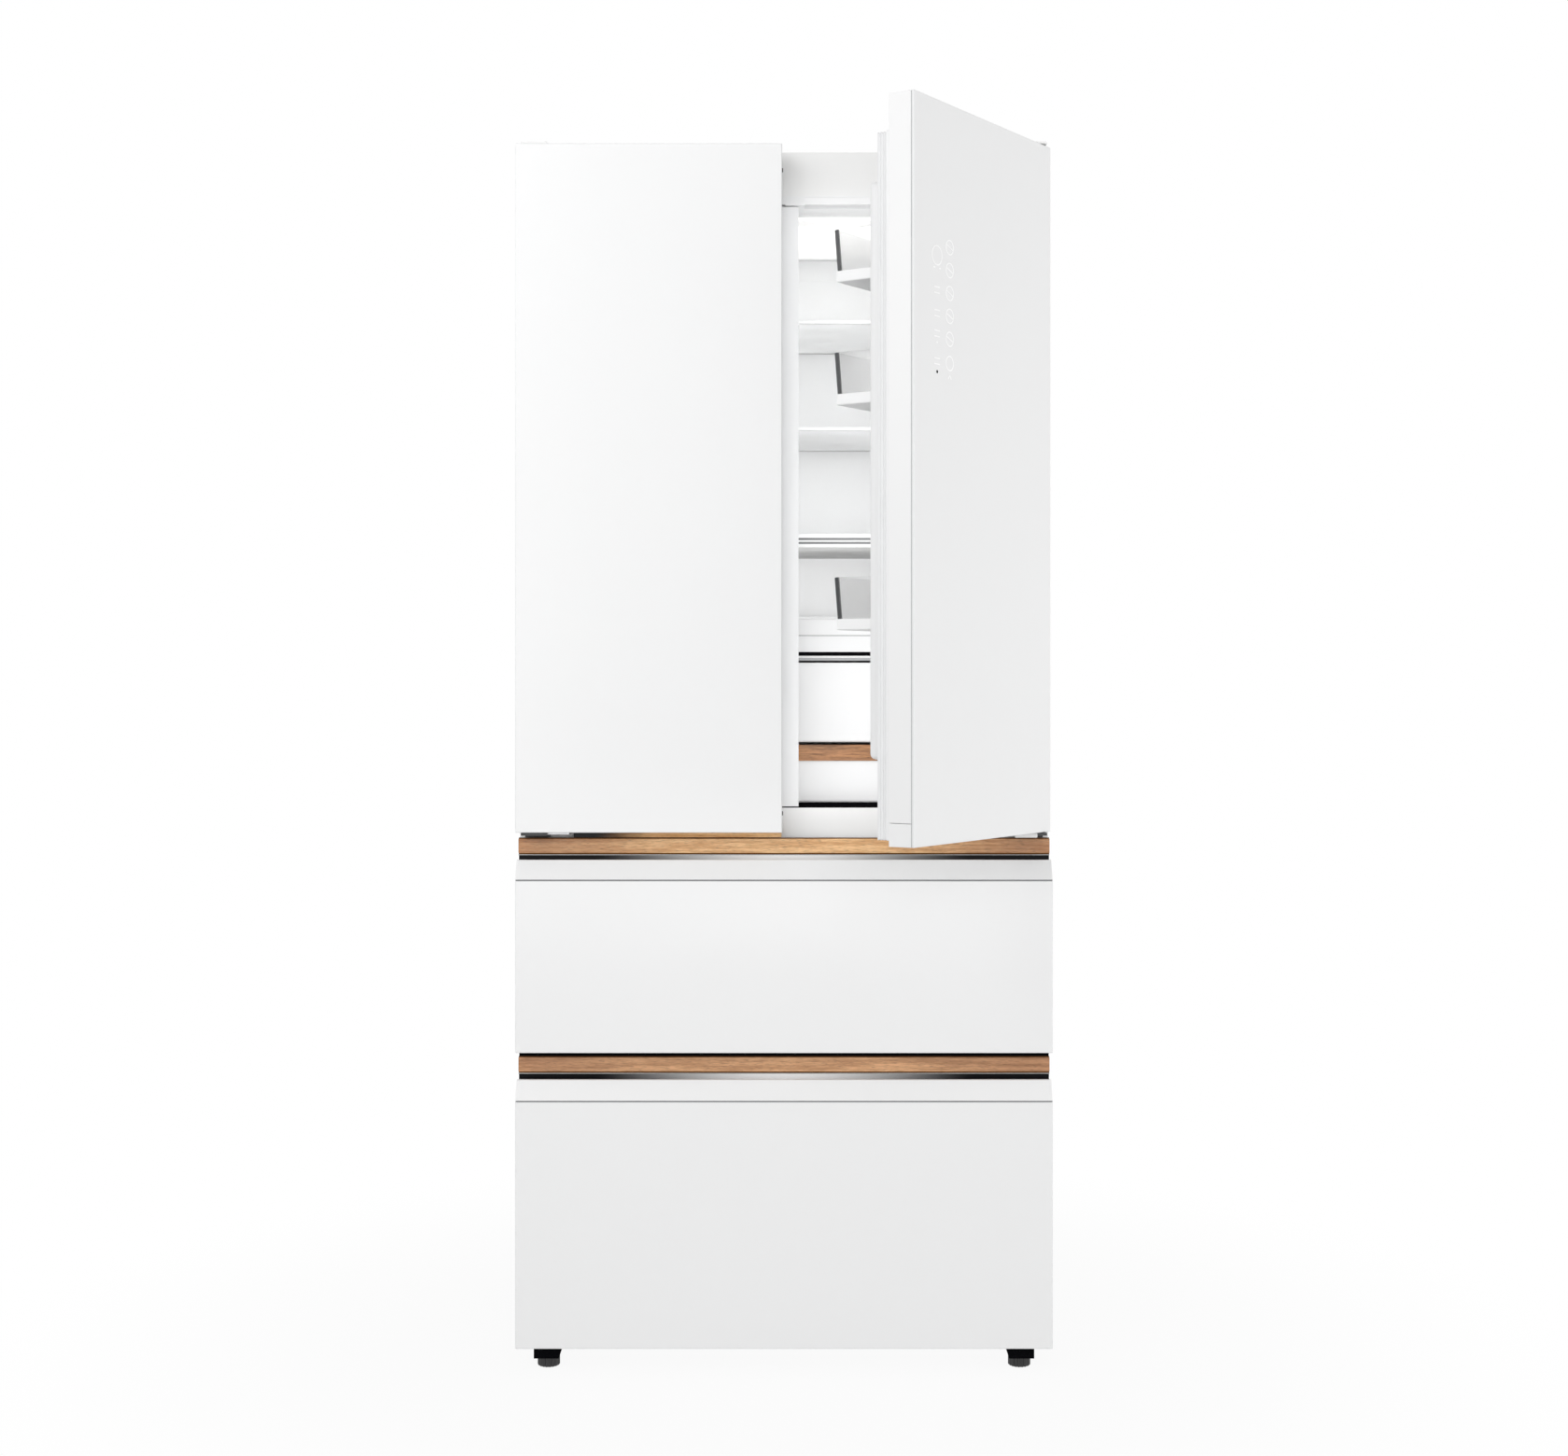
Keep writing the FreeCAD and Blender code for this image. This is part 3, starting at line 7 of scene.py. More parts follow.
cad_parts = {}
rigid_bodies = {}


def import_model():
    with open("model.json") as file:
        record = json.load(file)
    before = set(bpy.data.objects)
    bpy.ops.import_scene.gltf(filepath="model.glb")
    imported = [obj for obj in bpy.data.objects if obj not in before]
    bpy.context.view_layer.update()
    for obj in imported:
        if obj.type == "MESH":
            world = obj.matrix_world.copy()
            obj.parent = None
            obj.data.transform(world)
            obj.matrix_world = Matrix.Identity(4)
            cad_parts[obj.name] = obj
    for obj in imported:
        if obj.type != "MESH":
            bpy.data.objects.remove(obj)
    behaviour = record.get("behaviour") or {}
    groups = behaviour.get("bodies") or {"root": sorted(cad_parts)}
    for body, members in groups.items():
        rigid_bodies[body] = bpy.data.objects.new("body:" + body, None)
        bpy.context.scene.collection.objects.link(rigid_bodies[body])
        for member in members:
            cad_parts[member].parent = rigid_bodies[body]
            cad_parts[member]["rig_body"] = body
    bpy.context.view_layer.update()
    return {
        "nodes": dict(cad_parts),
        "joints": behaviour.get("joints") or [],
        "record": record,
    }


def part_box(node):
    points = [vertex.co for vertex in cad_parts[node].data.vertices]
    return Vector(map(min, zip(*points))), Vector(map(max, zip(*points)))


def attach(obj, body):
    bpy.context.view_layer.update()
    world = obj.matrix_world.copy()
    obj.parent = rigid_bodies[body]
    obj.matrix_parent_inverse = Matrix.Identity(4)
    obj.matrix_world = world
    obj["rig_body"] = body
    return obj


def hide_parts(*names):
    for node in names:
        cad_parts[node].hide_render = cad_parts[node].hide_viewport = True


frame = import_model()

# Places read from the solids and joints, in metres
glass_low, glass_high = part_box("left_door_glass")
FRONT = glass_low.y
HALF_WIDTH = -glass_low.x
DOOR_LOW = glass_low.z
DOOR_TOP = glass_high.z
DOOR_WIDTH = glass_high.x - glass_low.x
DOOR_GAP = -glass_high.x
JOINTS = {joint["name"]: joint for joint in frame["joints"]}
HINGE_X, HINGE_Y = JOINTS["right_door_hinge"]["pos_m"][:2]
AJAR = math.radians(-JOINTS["right_door_hinge"]["range_deg"][0])
MULLION_X, MULLION_Y = JOINTS["flip_mullion_hinge"]["pos_m"][:2]
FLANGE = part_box("fridge_liner")[0].y
FRIDGE_FLOOR = DOOR_LOW + 0.035
STRIP_LOW = {name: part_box(f"{name}_drawer_strip")[0].z for name in ("upper", "lower")}

# Doors, in metres; the depths count from the front
GLASS_THICK = 0.004
CASE_DEPTH = 0.042
CAP_HEIGHT = 0.0335
PLATE_DEPTH = 0.050
PLATE_LOW = DOOR_LOW + 0.008
PLATE_TOP = DOOR_TOP - 0.050
RIM_DEPTH = 0.105
RIM_LOW = DOOR_LOW + 0.121
RIM_TOP = DOOR_TOP - 0.1085
SEAL_DEPTH = 0.0655
SEAL_WIDE = 0.018

# Door bins, in metres
bins_low, bins_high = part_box("left_door_bins")
BIN_NEAR = bins_low.y
BIN_FAR = bins_high.y
BIN_HEIGHT = 0.078
BIN_LEAN = 0.0055
GUARD_RISE = 0.015
TOP_BIN = bins_high.z - BIN_HEIGHT
LOW_BIN = bins_low.z
BIN_FEET = (TOP_BIN, (TOP_BIN + LOW_BIN) / 2 + 0.075, LOW_BIN)

# Drawers, shelves and feet, in metres
LIP_HEIGHT = 0.029
STRIP_GAP = 0.007
STRIP_HEIGHT = 0.026
STRIP_BACK = 0.0472
SHELF_GLASS = 0.004
shelf_low, shelf_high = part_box("shelf_glass")
TOP_SHELF = shelf_high.z
LOW_SHELF = shelf_low.z + SHELF_GLASS
KNOB_HEIGHT = 0.0145

# Limits for picking out corners, edges and faces: metres, share of a length, radians
CLOSE = 1e-5
STRAIGHT = 0.99
SHARP = 1.0

# Node sockets and bump
COLOUR_SOCKET = "NodeSocketColor"
NUMBER_SOCKET = "NodeSocketFloat"
EFFECT_RESULTS = {"Color": COLOUR_SOCKET, "Roughness": NUMBER_SOCKET, "Height": NUMBER_SOCKET}
MIX_SHARE, MIX_FIRST, MIX_SECOND, MIX_RESULT = 0, 6, 7, 2
BUMP_DEPTH = 0.0001


# Shared surface effects


def feed(tree, value, socket):
    """Give a socket a number or a colour, or link another socket to it."""
    if isinstance(value, (int, float)):
        socket.default_value = value
    elif isinstance(value, tuple):
        socket.default_value = (*value, 1.0)
    else:
        tree.links.new(value, socket)


def object_place(tree):
    """Object coordinates."""
    return tree.nodes.new("ShaderNodeTexCoord").outputs["Object"]


def effect_group(name, inputs):
    """A shader group that gives colour, roughness and height, with its own inputs and coordinates."""
    made = bpy.data.node_groups.new(name, "ShaderNodeTree")
    for label, value in inputs.items():
        kind = COLOUR_SOCKET if isinstance(value, tuple) else NUMBER_SOCKET
        feed(made, value, made.interface.new_socket(label, in_out="INPUT", socket_type=kind))
    for label, kind in EFFECT_RESULTS.items():
        made.interface.new_socket(label, in_out="OUTPUT", socket_type=kind)
    given = made.nodes.new("NodeGroupInput").outputs
    result = made.nodes.new("NodeGroupOutput").inputs
    return made, given, result, object_place(made)


def mottle(tree, place, scale, detail):
    """Noise at a place; the scale is a number or a socket."""
    made = tree.nodes.new("ShaderNodeTexNoise")
    made.inputs["Detail"].default_value = detail
    feed(tree, place, made.inputs["Vector"])
    feed(tree, scale, made.inputs["Scale"])
    return made.outputs["Fac"]


def spread(tree, value, low, high, out_low, out_high):
    """A value carried from one range to another, smoothly."""
    made = tree.nodes.new("ShaderNodeMapRange")
    made.interpolation_type = "SMOOTHSTEP"
    labels = ("Value", "From Min", "From Max", "To Min", "To Max")
    for label, given in zip(labels, (value, low, high, out_low, out_high)):
        feed(tree, given, made.inputs[label])
    return made.outputs["Result"]


def tint(tree, share, first, second, mode="MIX"):
    """Two colours mixed by a share; each is a plain value or a socket."""
    made = tree.nodes.new("ShaderNodeMix")
    made.data_type = "RGBA"
    made.blend_type = mode
    for index, given in ((MIX_SHARE, share), (MIX_FIRST, first), (MIX_SECOND, second)):
        feed(tree, given, made.inputs[index])
    return made.outputs[MIX_RESULT]


def sums(tree, operation, *values):
    """One step of arithmetic on numbers and sockets."""
    made = tree.nodes.new("ShaderNodeMath")
    made.operation = operation
    for index, value in enumerate(values):
        feed(tree, value, made.inputs[index])
    return made.outputs["Value"]


def stretched(tree, place, scale):
    """Coordinates pulled out along the axes, and turned a little."""
    made = tree.nodes.new("ShaderNodeMapping")
    made.inputs["Scale"].default_value = scale
    made.inputs["Rotation"].default_value = (0.0, 0.05, 0.0)
    tree.links.new(place, made.inputs["Vector"])
    return made.outputs["Vector"]


def reach_share(tree, place, low, high):
    """How far a point lies from the middle of the front towards either end, from 0 to 1."""
    split = tree.nodes.new("ShaderNodeSeparateXYZ")
    tree.links.new(place, split.inputs["Vector"])
    reach = sums(tree, "ABSOLUTE", split.outputs["X"])
    return spread(tree, reach, low, high, 0.0, 1.0)


def moulded_skin():
    """Moulded or lacquered surface: slow tone drift, uneven gloss and fine grain."""
    inputs = {
        "Light": (0.9, 0.9, 0.9),
        "Dark": (0.8, 0.8, 0.8),
        "Patch": 5.0,
        "Grain": 900.0,
        "Smoothest": 0.25,
        "Roughest": 0.4,
    }
    tree, given, result, place = effect_group("moulded_skin", inputs)
    drift = mottle(tree, place, given["Patch"], 3.0)
    tree.links.new(tint(tree, drift, given["Light"], given["Dark"]), result["Color"])
    gloss = spread(tree, drift, 0.0, 1.0, given["Smoothest"], given["Roughest"])
    tree.links.new(gloss, result["Roughness"])
    tree.links.new(mottle(tree, place, given["Grain"], 2.0), result["Height"])
    return tree


def drawn_metal():
    """Rolled or drawn metal: fine lines along one way and cloudy spangle."""
    inputs = {
        "Light": (0.8, 0.8, 0.8),
        "Dark": (0.6, 0.6, 0.6),
        "Smoothest": 0.25,
        "Roughest": 0.5,
    }
    tree, given, result, place = effect_group("drawn_metal", inputs)
    lines = mottle(tree, stretched(tree, place, (900.0, 12.0, 900.0)), 1.0, 2.0)
    cells = tree.nodes.new("ShaderNodeTexVoronoi")
    cells.inputs["Scale"].default_value = 160.0
    tree.links.new(place, cells.inputs["Vector"])
    spangle = spread(tree, cells.outputs["Distance"], 0.0, 0.9, 0.6, 1.2)
    share = sums(tree, "MULTIPLY", lines, spangle)
    tree.links.new(tint(tree, share, given["Light"], given["Dark"]), result["Color"])
    gloss = spread(tree, lines, 0.25, 0.75, given["Smoothest"], given["Roughest"])
    tree.links.new(gloss, result["Roughness"])
    tree.links.new(lines, result["Height"])
    return tree


def timber():
    """Straight-grained wood along X, with streaks, pores and painted shade that darkens the tone towards
    both ends.
    """
    inputs = {
        "Light": (0.8, 0.5, 0.27),
        "Dark": (0.5, 0.27, 0.13),
        "End": (0.55, 0.52, 0.55),
    }
    tree, given, result, place = effect_group("timber", inputs)
    bands = mottle(tree, stretched(tree, place, (9.0, 40.0, 170.0)), 1.0, 3.0)
    streaks = mottle(tree, stretched(tree, place, (42.0, 120.0, 560.0)), 1.0, 4.0)
    pores = mottle(tree, stretched(tree, place, (95.0, 400.0, 1300.0)), 1.0, 1.0)
    figure = sums(tree, "MULTIPLY_ADD", streaks, 0.7, spread(tree, bands, 0.3, 0.7, 0.0, 0.3))
    share = spread(tree, figure, 0.28, 0.72, 0.0, 1.0)
    base = tint(tree, share, given["Light"], given["Dark"])
    pitted = spread(tree, pores, 0.30, 0.46, 0.66, 1.0)
    # Painted shade: the wood's tone darkens towards both ends of the front.
    ends = reach_share(tree, place, 0.14, 0.40)
    end_shade = tint(tree, ends, (1.0, 1.0, 1.0), given["End"])
    shaded = tint(tree, 1.0, base, end_shade, "MULTIPLY")
    tree.links.new(tint(tree, 1.0, shaded, pitted, "MULTIPLY"), result["Color"])
    tree.links.new(spread(tree, streaks, 0.3, 0.7, 0.32, 0.5), result["Roughness"])
    tree.links.new(pores, result["Height"])
    return tree


SKIN = moulded_skin()
METAL = drawn_metal()
TIMBER = timber()


# Finishes


def finish(name, settings, group=None, values=None, relief=0.0):
    """A material on one Principled shader: plain settings, and an effect group for the rest."""
    made = bpy.data.materials.new(name)
    made.use_nodes = True
    tree = made.node_tree
    shader = tree.nodes["Principled BSDF"]
    for label, value in settings.items():
        feed(tree, value, shader.inputs[label])
    if group:
        effect = tree.nodes.new("ShaderNodeGroup")
        effect.node_tree = group
        for label, value in values.items():
            feed(tree, value, effect.inputs[label])
        tree.links.new(effect.outputs["Color"], shader.inputs["Base Color"])
        tree.links.new(effect.outputs["Roughness"], shader.inputs["Roughness"])
        if relief:
            bump = tree.nodes.new("ShaderNodeBump")
            bump.inputs["Strength"].default_value = relief
            bump.inputs["Distance"].default_value = BUMP_DEPTH
            tree.links.new(effect.outputs["Height"], bump.inputs["Height"])
            tree.links.new(bump.outputs["Normal"], shader.inputs["Normal"])
    return made


NO_SETTINGS = {}
DULL = {"Specular IOR Level": 0.0}
# The touch icons' faint glow is painted light: it makes the marks read brighter.
ICON_PAINTED_GLOW = {"Emission Color": (1.0, 1.0, 1.0), "Emission Strength": 0.04}
LAMP_GLOW = {"Emission Color": (1.0, 0.99, 0.97), "Emission Strength": 0.4}


def skin(name, light, dark, smooth, rough, patch=4.0, grain=900.0, relief=0.15, settings=NO_SETTINGS):
    """A moulded or painted finish from its two tones and its gloss range."""
    values = {
        "Light": light,
        "Dark": dark,
        "Patch": patch,
        "Grain": grain,
        "Smoothest": smooth,
        "Roughest": rough,
    }
    return finish(name, settings, SKIN, values, relief)


# Light tone, dark tone, smoothest, roughest, patch, grain and relief
lacquered_glass = skin(
    "lacquered_glass", (0.900, 0.902, 0.902), (0.885, 0.887, 0.889), 0.10, 0.16, 2.0, 260.0, 0.02
)
case_white = skin("case_white", (0.885, 0.886, 0.886), (0.865, 0.867, 0.868), 0.3, 0.4, 5.0, 1400.0, 0.12)
liner_white = skin("liner_white", (0.88, 0.884, 0.886), (0.86, 0.865, 0.868), 0.28, 0.42, 6.0, 700.0, 0.1)
tub_white = skin("tub_white", (0.905, 0.908, 0.91), (0.885, 0.889, 0.892), 0.3, 0.42, 7.0, 600.0, 0.06)
painted_steel = skin(
    "painted_steel", (0.880, 0.880, 0.872), (0.866, 0.866, 0.859), 0.29, 0.36, 3.0, 520.0, 0.03
)
glass_edge = skin("glass_edge", (0.84, 0.85, 0.85), (0.8, 0.81, 0.81), 0.29, 0.4, 12.0, 900.0, 0.05)
seal_white = skin("seal_white", (0.84, 0.845, 0.85), (0.8, 0.805, 0.81), 0.5, 0.65, 18.0, 1500.0, 0.2)
seam_grey = skin("seam_grey", (0.46, 0.47, 0.48), (0.38, 0.39, 0.4), 0.45, 0.6, 14.0, 1500.0, 0.1)
mullion_satin = skin("mullion_satin", (0.88, 0.885, 0.89), (0.85, 0.855, 0.86), 0.3, 0.42, 5.0, 900.0, 0.1)
foot_black = skin("foot_black", (0.02, 0.02, 0.021), (0.008, 0.008, 0.009), 0.29, 0.38, 60.0, 1600.0, 0.2)
# Plain black for dark parts, also used as painted shade in gaps and recesses.
recess_black = skin(
    "recess_black", (0.006, 0.006, 0.007), (0.003, 0.003, 0.004), 0.4, 0.6, 30.0, settings=DULL
)
strip_shade = skin("strip_shade", (0.17, 0.08, 0.033), (0.11, 0.05, 0.02), 0.4, 0.6, 40.0, settings=DULL)
trim_white = skin("trim_white", (0.97, 0.972, 0.972), (0.955, 0.957, 0.958), 0.2, 0.26, 9.0, 900.0, 0.03)
lip_seam = skin("lip_seam", (0.3, 0.305, 0.31), (0.24, 0.245, 0.25), 0.45, 0.6, 14.0, settings=DULL)
# Grey for the painted shade under the lowest shelf.
smoked_plate = skin("smoked_plate", (0.34, 0.34, 0.335), (0.27, 0.27, 0.265), 0.3, 0.45, 20.0, 500.0, 0.1)
rail_grey = skin("rail_grey", (0.56, 0.56, 0.56), (0.52, 0.52, 0.52), 0.3, 0.45, 8.0, 700.0, 0.1)
enamel_black = skin(
    "enamel_black", (0.030, 0.030, 0.032), (0.018, 0.018, 0.019), 0.29, 0.42, 25.0, 500.0, 0.25
)
# Dark grey for the painted refraction lines at the bin guards' corners.
smoked_edge = skin(
    "smoked_edge", (0.045, 0.047, 0.050), (0.028, 0.029, 0.031), 0.12, 0.22, 25.0, 900.0, 0.03
)
wall_foam = skin("wall_foam", (0.8, 0.72, 0.48), (0.66, 0.57, 0.34), 0.7, 0.9, 30.0, 420.0, 0.6)
icon_white = skin("icon_white", (0.97, 0.97, 0.97), (0.94, 0.94, 0.94), 0.3, 0.4, settings=ICON_PAINTED_GLOW)
lamp_glow = skin("lamp_glow", (0.95, 0.95, 0.94), (0.92, 0.92, 0.91), 0.4, 0.6, settings=LAMP_GLOW)


def metal(name, light, dark, smooth, rough, relief):
    """A bare metal from its two tones and its gloss range."""
    values = {"Light": light, "Dark": dark, "Smoothest": smooth, "Roughest": rough}
    return finish(name, {"Metallic": 1.0}, METAL, values, relief)


zinc_steel = metal("zinc_steel", (0.68, 0.69, 0.70), (0.50, 0.51, 0.52), 0.28, 0.5, 0.1)
fin_aluminium = metal("fin_aluminium", (0.82, 0.83, 0.84), (0.66, 0.67, 0.68), 0.29, 0.4, 0.1)
silver_bead = metal("silver_bead", (0.42, 0.42, 0.41), (0.30, 0.30, 0.29), 0.3, 0.45, 0.05)

FOIL_COAT = {"Coat Weight": 0.15, "Coat Roughness": 0.25}
THIN_COAT = {"Coat Weight": 0.1, "Coat Roughness": 0.3}
WOOD_RELIEF = 0.12
# Each wood's tone towards both ends is painted shade. The lower strip's wood and the inner trim's wood are
# darker copies of the oak: painted shade.
OAK = {"Light": (0.98, 0.62, 0.305), "Dark": (0.68, 0.355, 0.142), "End": (0.615, 0.495, 0.45)}
SHADED_LOW_OAK = {"Light": (0.84, 0.465, 0.232), "Dark": (0.53, 0.265, 0.118), "End": (0.69, 0.62, 0.58)}
SHADED_INNER_OAK = {"Light": (0.5, 0.225, 0.082), "Dark": (0.19, 0.08, 0.027), "End": (0.8, 0.78, 0.78)}
oak_foil = finish("oak_foil", FOIL_COAT, TIMBER, OAK, WOOD_RELIEF)
low_oak_foil = finish("low_oak_foil", FOIL_COAT, TIMBER, SHADED_LOW_OAK, WOOD_RELIEF)
inner_walnut = finish("inner_walnut", THIN_COAT, TIMBER, SHADED_INNER_OAK, WOOD_RELIEF)


def clear_finish(name, colour, clear, smooth, rough, index):
    """See-through plastic or glass with slightly uneven gloss."""
    made = finish(name, {"Base Color": colour, "Transmission Weight": clear, "IOR": index})
    tree = made.node_tree
    drift = mottle(tree, object_place(tree), 24.0, 3.0)
    gloss = spread(tree, drift, 0.3, 0.7, smooth, rough)
    tree.links.new(gloss, tree.nodes["Principled BSDF"].inputs["Roughness"])
    return made


bin_clear = clear_finish("bin_clear", (0.91, 0.91, 0.91), 0.93, 0.05, 0.12, 1.49)
shelf_clear = clear_finish("shelf_clear", (0.980, 0.986, 0.986), 0.9, 0.03, 0.08, 1.52)


def paint_end_shade(made, middle, low, high):
    """Paint shade onto a finish: from its colour in the middle of the front to black towards both ends."""
    tree = made.node_tree
    share = reach_share(tree, object_place(tree), low, high)
    shade = tint(tree, share, middle, (0.004, 0.004, 0.005))
    tree.links.new(shade, tree.nodes["Principled BSDF"].inputs["Base Color"])


# Painted shade: the pull recess lining is white in the middle of the front and black towards both ends.
lining_with_painted_shade = finish("pull_lining", {"Roughness": 0.3, "Specular IOR Level": 0.1})
paint_end_shade(lining_with_painted_shade, (0.95, 0.95, 0.95), 0.0, 0.30)
# The strip under the closed left door is a painted reflection of the wood in the sill, with painted shade
# towards the hinge.
reflection_oak = finish("faded_oak", {"Specular IOR Level": 0.2}, TIMBER, OAK)
reflection_wood = next(node for node in reflection_oak.node_tree.nodes if node.type == "GROUP")
paint_end_shade(reflection_oak, reflection_wood.outputs["Color"], 0.19, 0.30)

SLOT_FINISH = {
    "white_steel": painted_steel,
    "grey_steel": zinc_steel,
    "foam": wall_foam,
    "white_liner": liner_white,
    "white_case": case_white,
    "white_glass": lacquered_glass,
    "grey_gasket": seal_white,
    "clear_plastic": bin_clear,
    "clear_glass": shelf_clear,
    "white_tub": tub_white,
    "wood_look": oak_foil,
    "lamp_cover": lamp_glow,
    "mullion_cover": mullion_satin,
    "black_plastic": foot_black,
    "black_steel": enamel_black,
    "coil_aluminium": fin_aluminium,
}
OWN_FINISH = {"mid_hinges": enamel_black, "top_hinges": painted_steel}
SLOT_OF = {part["node"]: part["material_slot"] for part in frame["record"]["subparts"]}
for node, slot in SLOT_OF.items():
    looks = frame["nodes"][node].data.materials
    looks.clear()
    looks.append(OWN_FINISH.get(node, SLOT_FINISH[slot]))


# Making of pieces


def put(name, bm, body, look, stands_for=(), swing=None, smooth=False):
    """Turn a finished bmesh into a piece that rides on a body."""
    if swing:
        bmesh.ops.transform(bm, matrix=swing, verts=bm.verts)
    bmesh.ops.recalc_face_normals(bm, faces=bm.faces)
    mesh = bpy.data.meshes.new(name)
    bm.to_mesh(mesh)
    bm.free()
    if smooth:
        mesh.shade_smooth()
        mesh.set_sharp_from_angle(angle=math.radians(40))
    mesh.materials.append(look)
    piece = bpy.data.objects.new(name, mesh)
    bpy.context.scene.collection.objects.link(piece)
    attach(piece, body)
    if stands_for:
        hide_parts(*stands_for)
    return piece


def join_into(whole, part):
    """Add one small bmesh to another."""
    mesh = bpy.data.meshes.new("part")
    bmesh.ops.recalc_face_normals(part, faces=part.faces)
    part.to_mesh(mesh)
    part.free()
    whole.from_mesh(mesh)
    bpy.data.meshes.remove(mesh)


def round_edges(bm, edges, radius, segments):
    """Round some edges."""
    bmesh.ops.bevel(
        bm,
        geom=edges,
        offset=radius,
        offset_type="OFFSET",
        segments=segments,
        profile=0.5,
        affect="EDGES",
        clamp_overlap=True,
        material=-1,
    )


def block(bm, low, high):
    """A plain block between two corners, to be shaped further."""
    low = Vector(low)
    high = Vector(high)
    verts = bmesh.ops.create_cube(bm, size=1.0)["verts"]
    bmesh.ops.scale(bm, vec=high - low, verts=verts)
    bmesh.ops.translate(bm, vec=(low + high) / 2, verts=verts)
    return verts


def edges_of(verts):
    """Every edge that meets these corners, once each and in a fixed order."""
    return list(dict.fromkeys(edge for vert in verts for edge in vert.link_edges))


def along(edge, axis):
    """Whether an edge runs along an axis."""
    run = edge.verts[1].co - edge.verts[0].co
    return abs(run[axis]) > STRAIGHT * run.length


def level_with(edge, z):
    """Whether both ends of an edge lie at a height."""
    return all(abs(vert.co.z - z) < CLOSE for vert in edge.verts)


def slab(bm, low, high, radius, segments=2):
    """A block with rounded edges."""
    round_edges(bm, edges_of(block(bm, low, high)), radius, segments)


def bar(name, low, high, radius, body, slot, look, stands_for=(), swing=None, segments=2):
    """A piece that is one block with rounded edges."""
    bm = bmesh.new()
    slab(bm, low, high, radius, segments)
    put(name, bm, body, look, stands_for, swing)


def softened(node, name, radius, look, segments=2):
    """A copy of a solid with its sharp edges rounded, in its place."""
    bm = bmesh.new()
    bm.from_mesh(frame["nodes"][node].data)
    bmesh.ops.remove_doubles(bm, verts=bm.verts, dist=CLOSE)
    bmesh.ops.dissolve_limit(bm, angle_limit=math.radians(1), verts=bm.verts, edges=bm.edges)
    least = math.radians(30)
    sharp = [edge for edge in bm.edges if edge.is_manifold and edge.calc_face_angle() > least]
    round_edges(bm, sharp, radius, segments)
    body = frame["nodes"][node]["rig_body"]
    put(name, bm, body, look, (node,))


def open_tub(bm, low, high, wall, radius):
    """An open box with rounded corners, one wall thick."""
    edges = edges_of(block(bm, low, high))
    foot = [edge for edge in edges if level_with(edge, low[2])]
    upright = [edge for edge in edges if along(edge, 2)]
    round_edges(bm, upright + foot, radius, 3)
    mouth = max(bm.faces, key=lambda face: face.calc_center_median().z)
    bmesh.ops.inset_region(bm, faces=[mouth], thickness=wall, use_even_offset=True)
    sunk = bmesh.ops.extrude_discrete_faces(bm, faces=[mouth])["faces"][0]
    bmesh.ops.translate(bm, vec=(0, 0, low[2] + wall - high[2]), verts=sunk.verts)
    rim = [edge for edge in bm.edges if level_with(edge, high[2]) and edge.calc_face_angle() > SHARP]
    round_edges(bm, rim, wall * 0.35, 2)


QUARTER_TURN = math.pi / 2
AXIS_TURN = {
    "x": Matrix.Rotation(QUARTER_TURN, 4, "Y"),
    "y": Matrix.Rotation(QUARTER_TURN, 4, "X"),
    "z": Matrix(),
}


def disc(bm, middle, radius, depth, axis, segments=24):
    """A short round peg along an axis, its rim rounded."""
    place = Matrix.Translation(middle) @ AXIS_TURN[axis]
    verts = bmesh.ops.create_cone(
        bm, cap_ends=True, segments=segments, radius1=radius, radius2=radius, depth=depth, matrix=place
    )["verts"]
    joined = [edge for edge in edges_of(verts) if len(edge.link_faces) == 2]
    caps = [edge for edge in joined if edge.calc_face_angle() > SHARP]
    round_edges(bm, caps, min(radius, depth) * 0.3, 2)


# Doors


def door_x(side, near, far):
    """Across a closed door, from two distances off its hinge-side edge."""
    if side == "left":
        return near - HALF_WIDTH, far - HALF_WIDTH
    return HALF_WIDTH - far, HALF_WIDTH - near


def door_swing(side):
    """How a closed door is turned at rest."""
    if side == "left":
        return None
    pivot = Vector((HINGE_X, HINGE_Y, 0))
    return Matrix.Translation(pivot) @ Matrix.Rotation(AJAR, 4, "Z") @ Matrix.Translation(-pivot)


def glass_panel(name, low, high, body, node, swing=None):
    """A lacquered glass panel with ground edges."""
    bm = bmesh.new()
    slab(bm, low, high, 0.0012, 3)
    bm.normal_update()
    for face in bm.faces:
        face.material_index = 0 if abs(face.normal.y) > STRAIGHT else 1
    piece = put(name, bm, body, lacquered_glass, (node,), swing)
    piece.data.materials.append(glass_edge)


def door_shell(side):
    """White glass panel, a thin seam behind it, and the case with its foot cap."""
    x0, x1 = door_x(side, 0.0, DOOR_WIDTH)
    swing = door_swing(side)
    body = f"{side}_door"
    corners = (x0, FRONT, DOOR_LOW), (x1, FRONT + GLASS_THICK, DOOR_TOP)
    glass_panel(f"{side}_door_panel", *corners, body, f"{side}_door_glass", swing)
    inset = 0.0009
    low = (x0 + inset, FRONT + 0.0038, DOOR_LOW + inset)
    high = (x1 - inset, FRONT + 0.0056, DOOR_TOP - inset)
    bar(f"{side}_door_seam", low, high, 0.0003, body, "grey_gasket", seam_grey, swing=swing)
    bm = bmesh.new()
    seam = DOOR_LOW + CAP_HEIGHT
    half_gap = 0.0003
    for foot, head in ((DOOR_LOW, seam - half_gap), (seam + half_gap, DOOR_TOP)):
        slab(bm, (x0, FRONT + 0.0052, foot), (x1, FRONT + CASE_DEPTH, head), 0.0009, 3)
    put(f"{side}_door_shell", bm, body, case_white, (f"{side}_door_case",), swing)


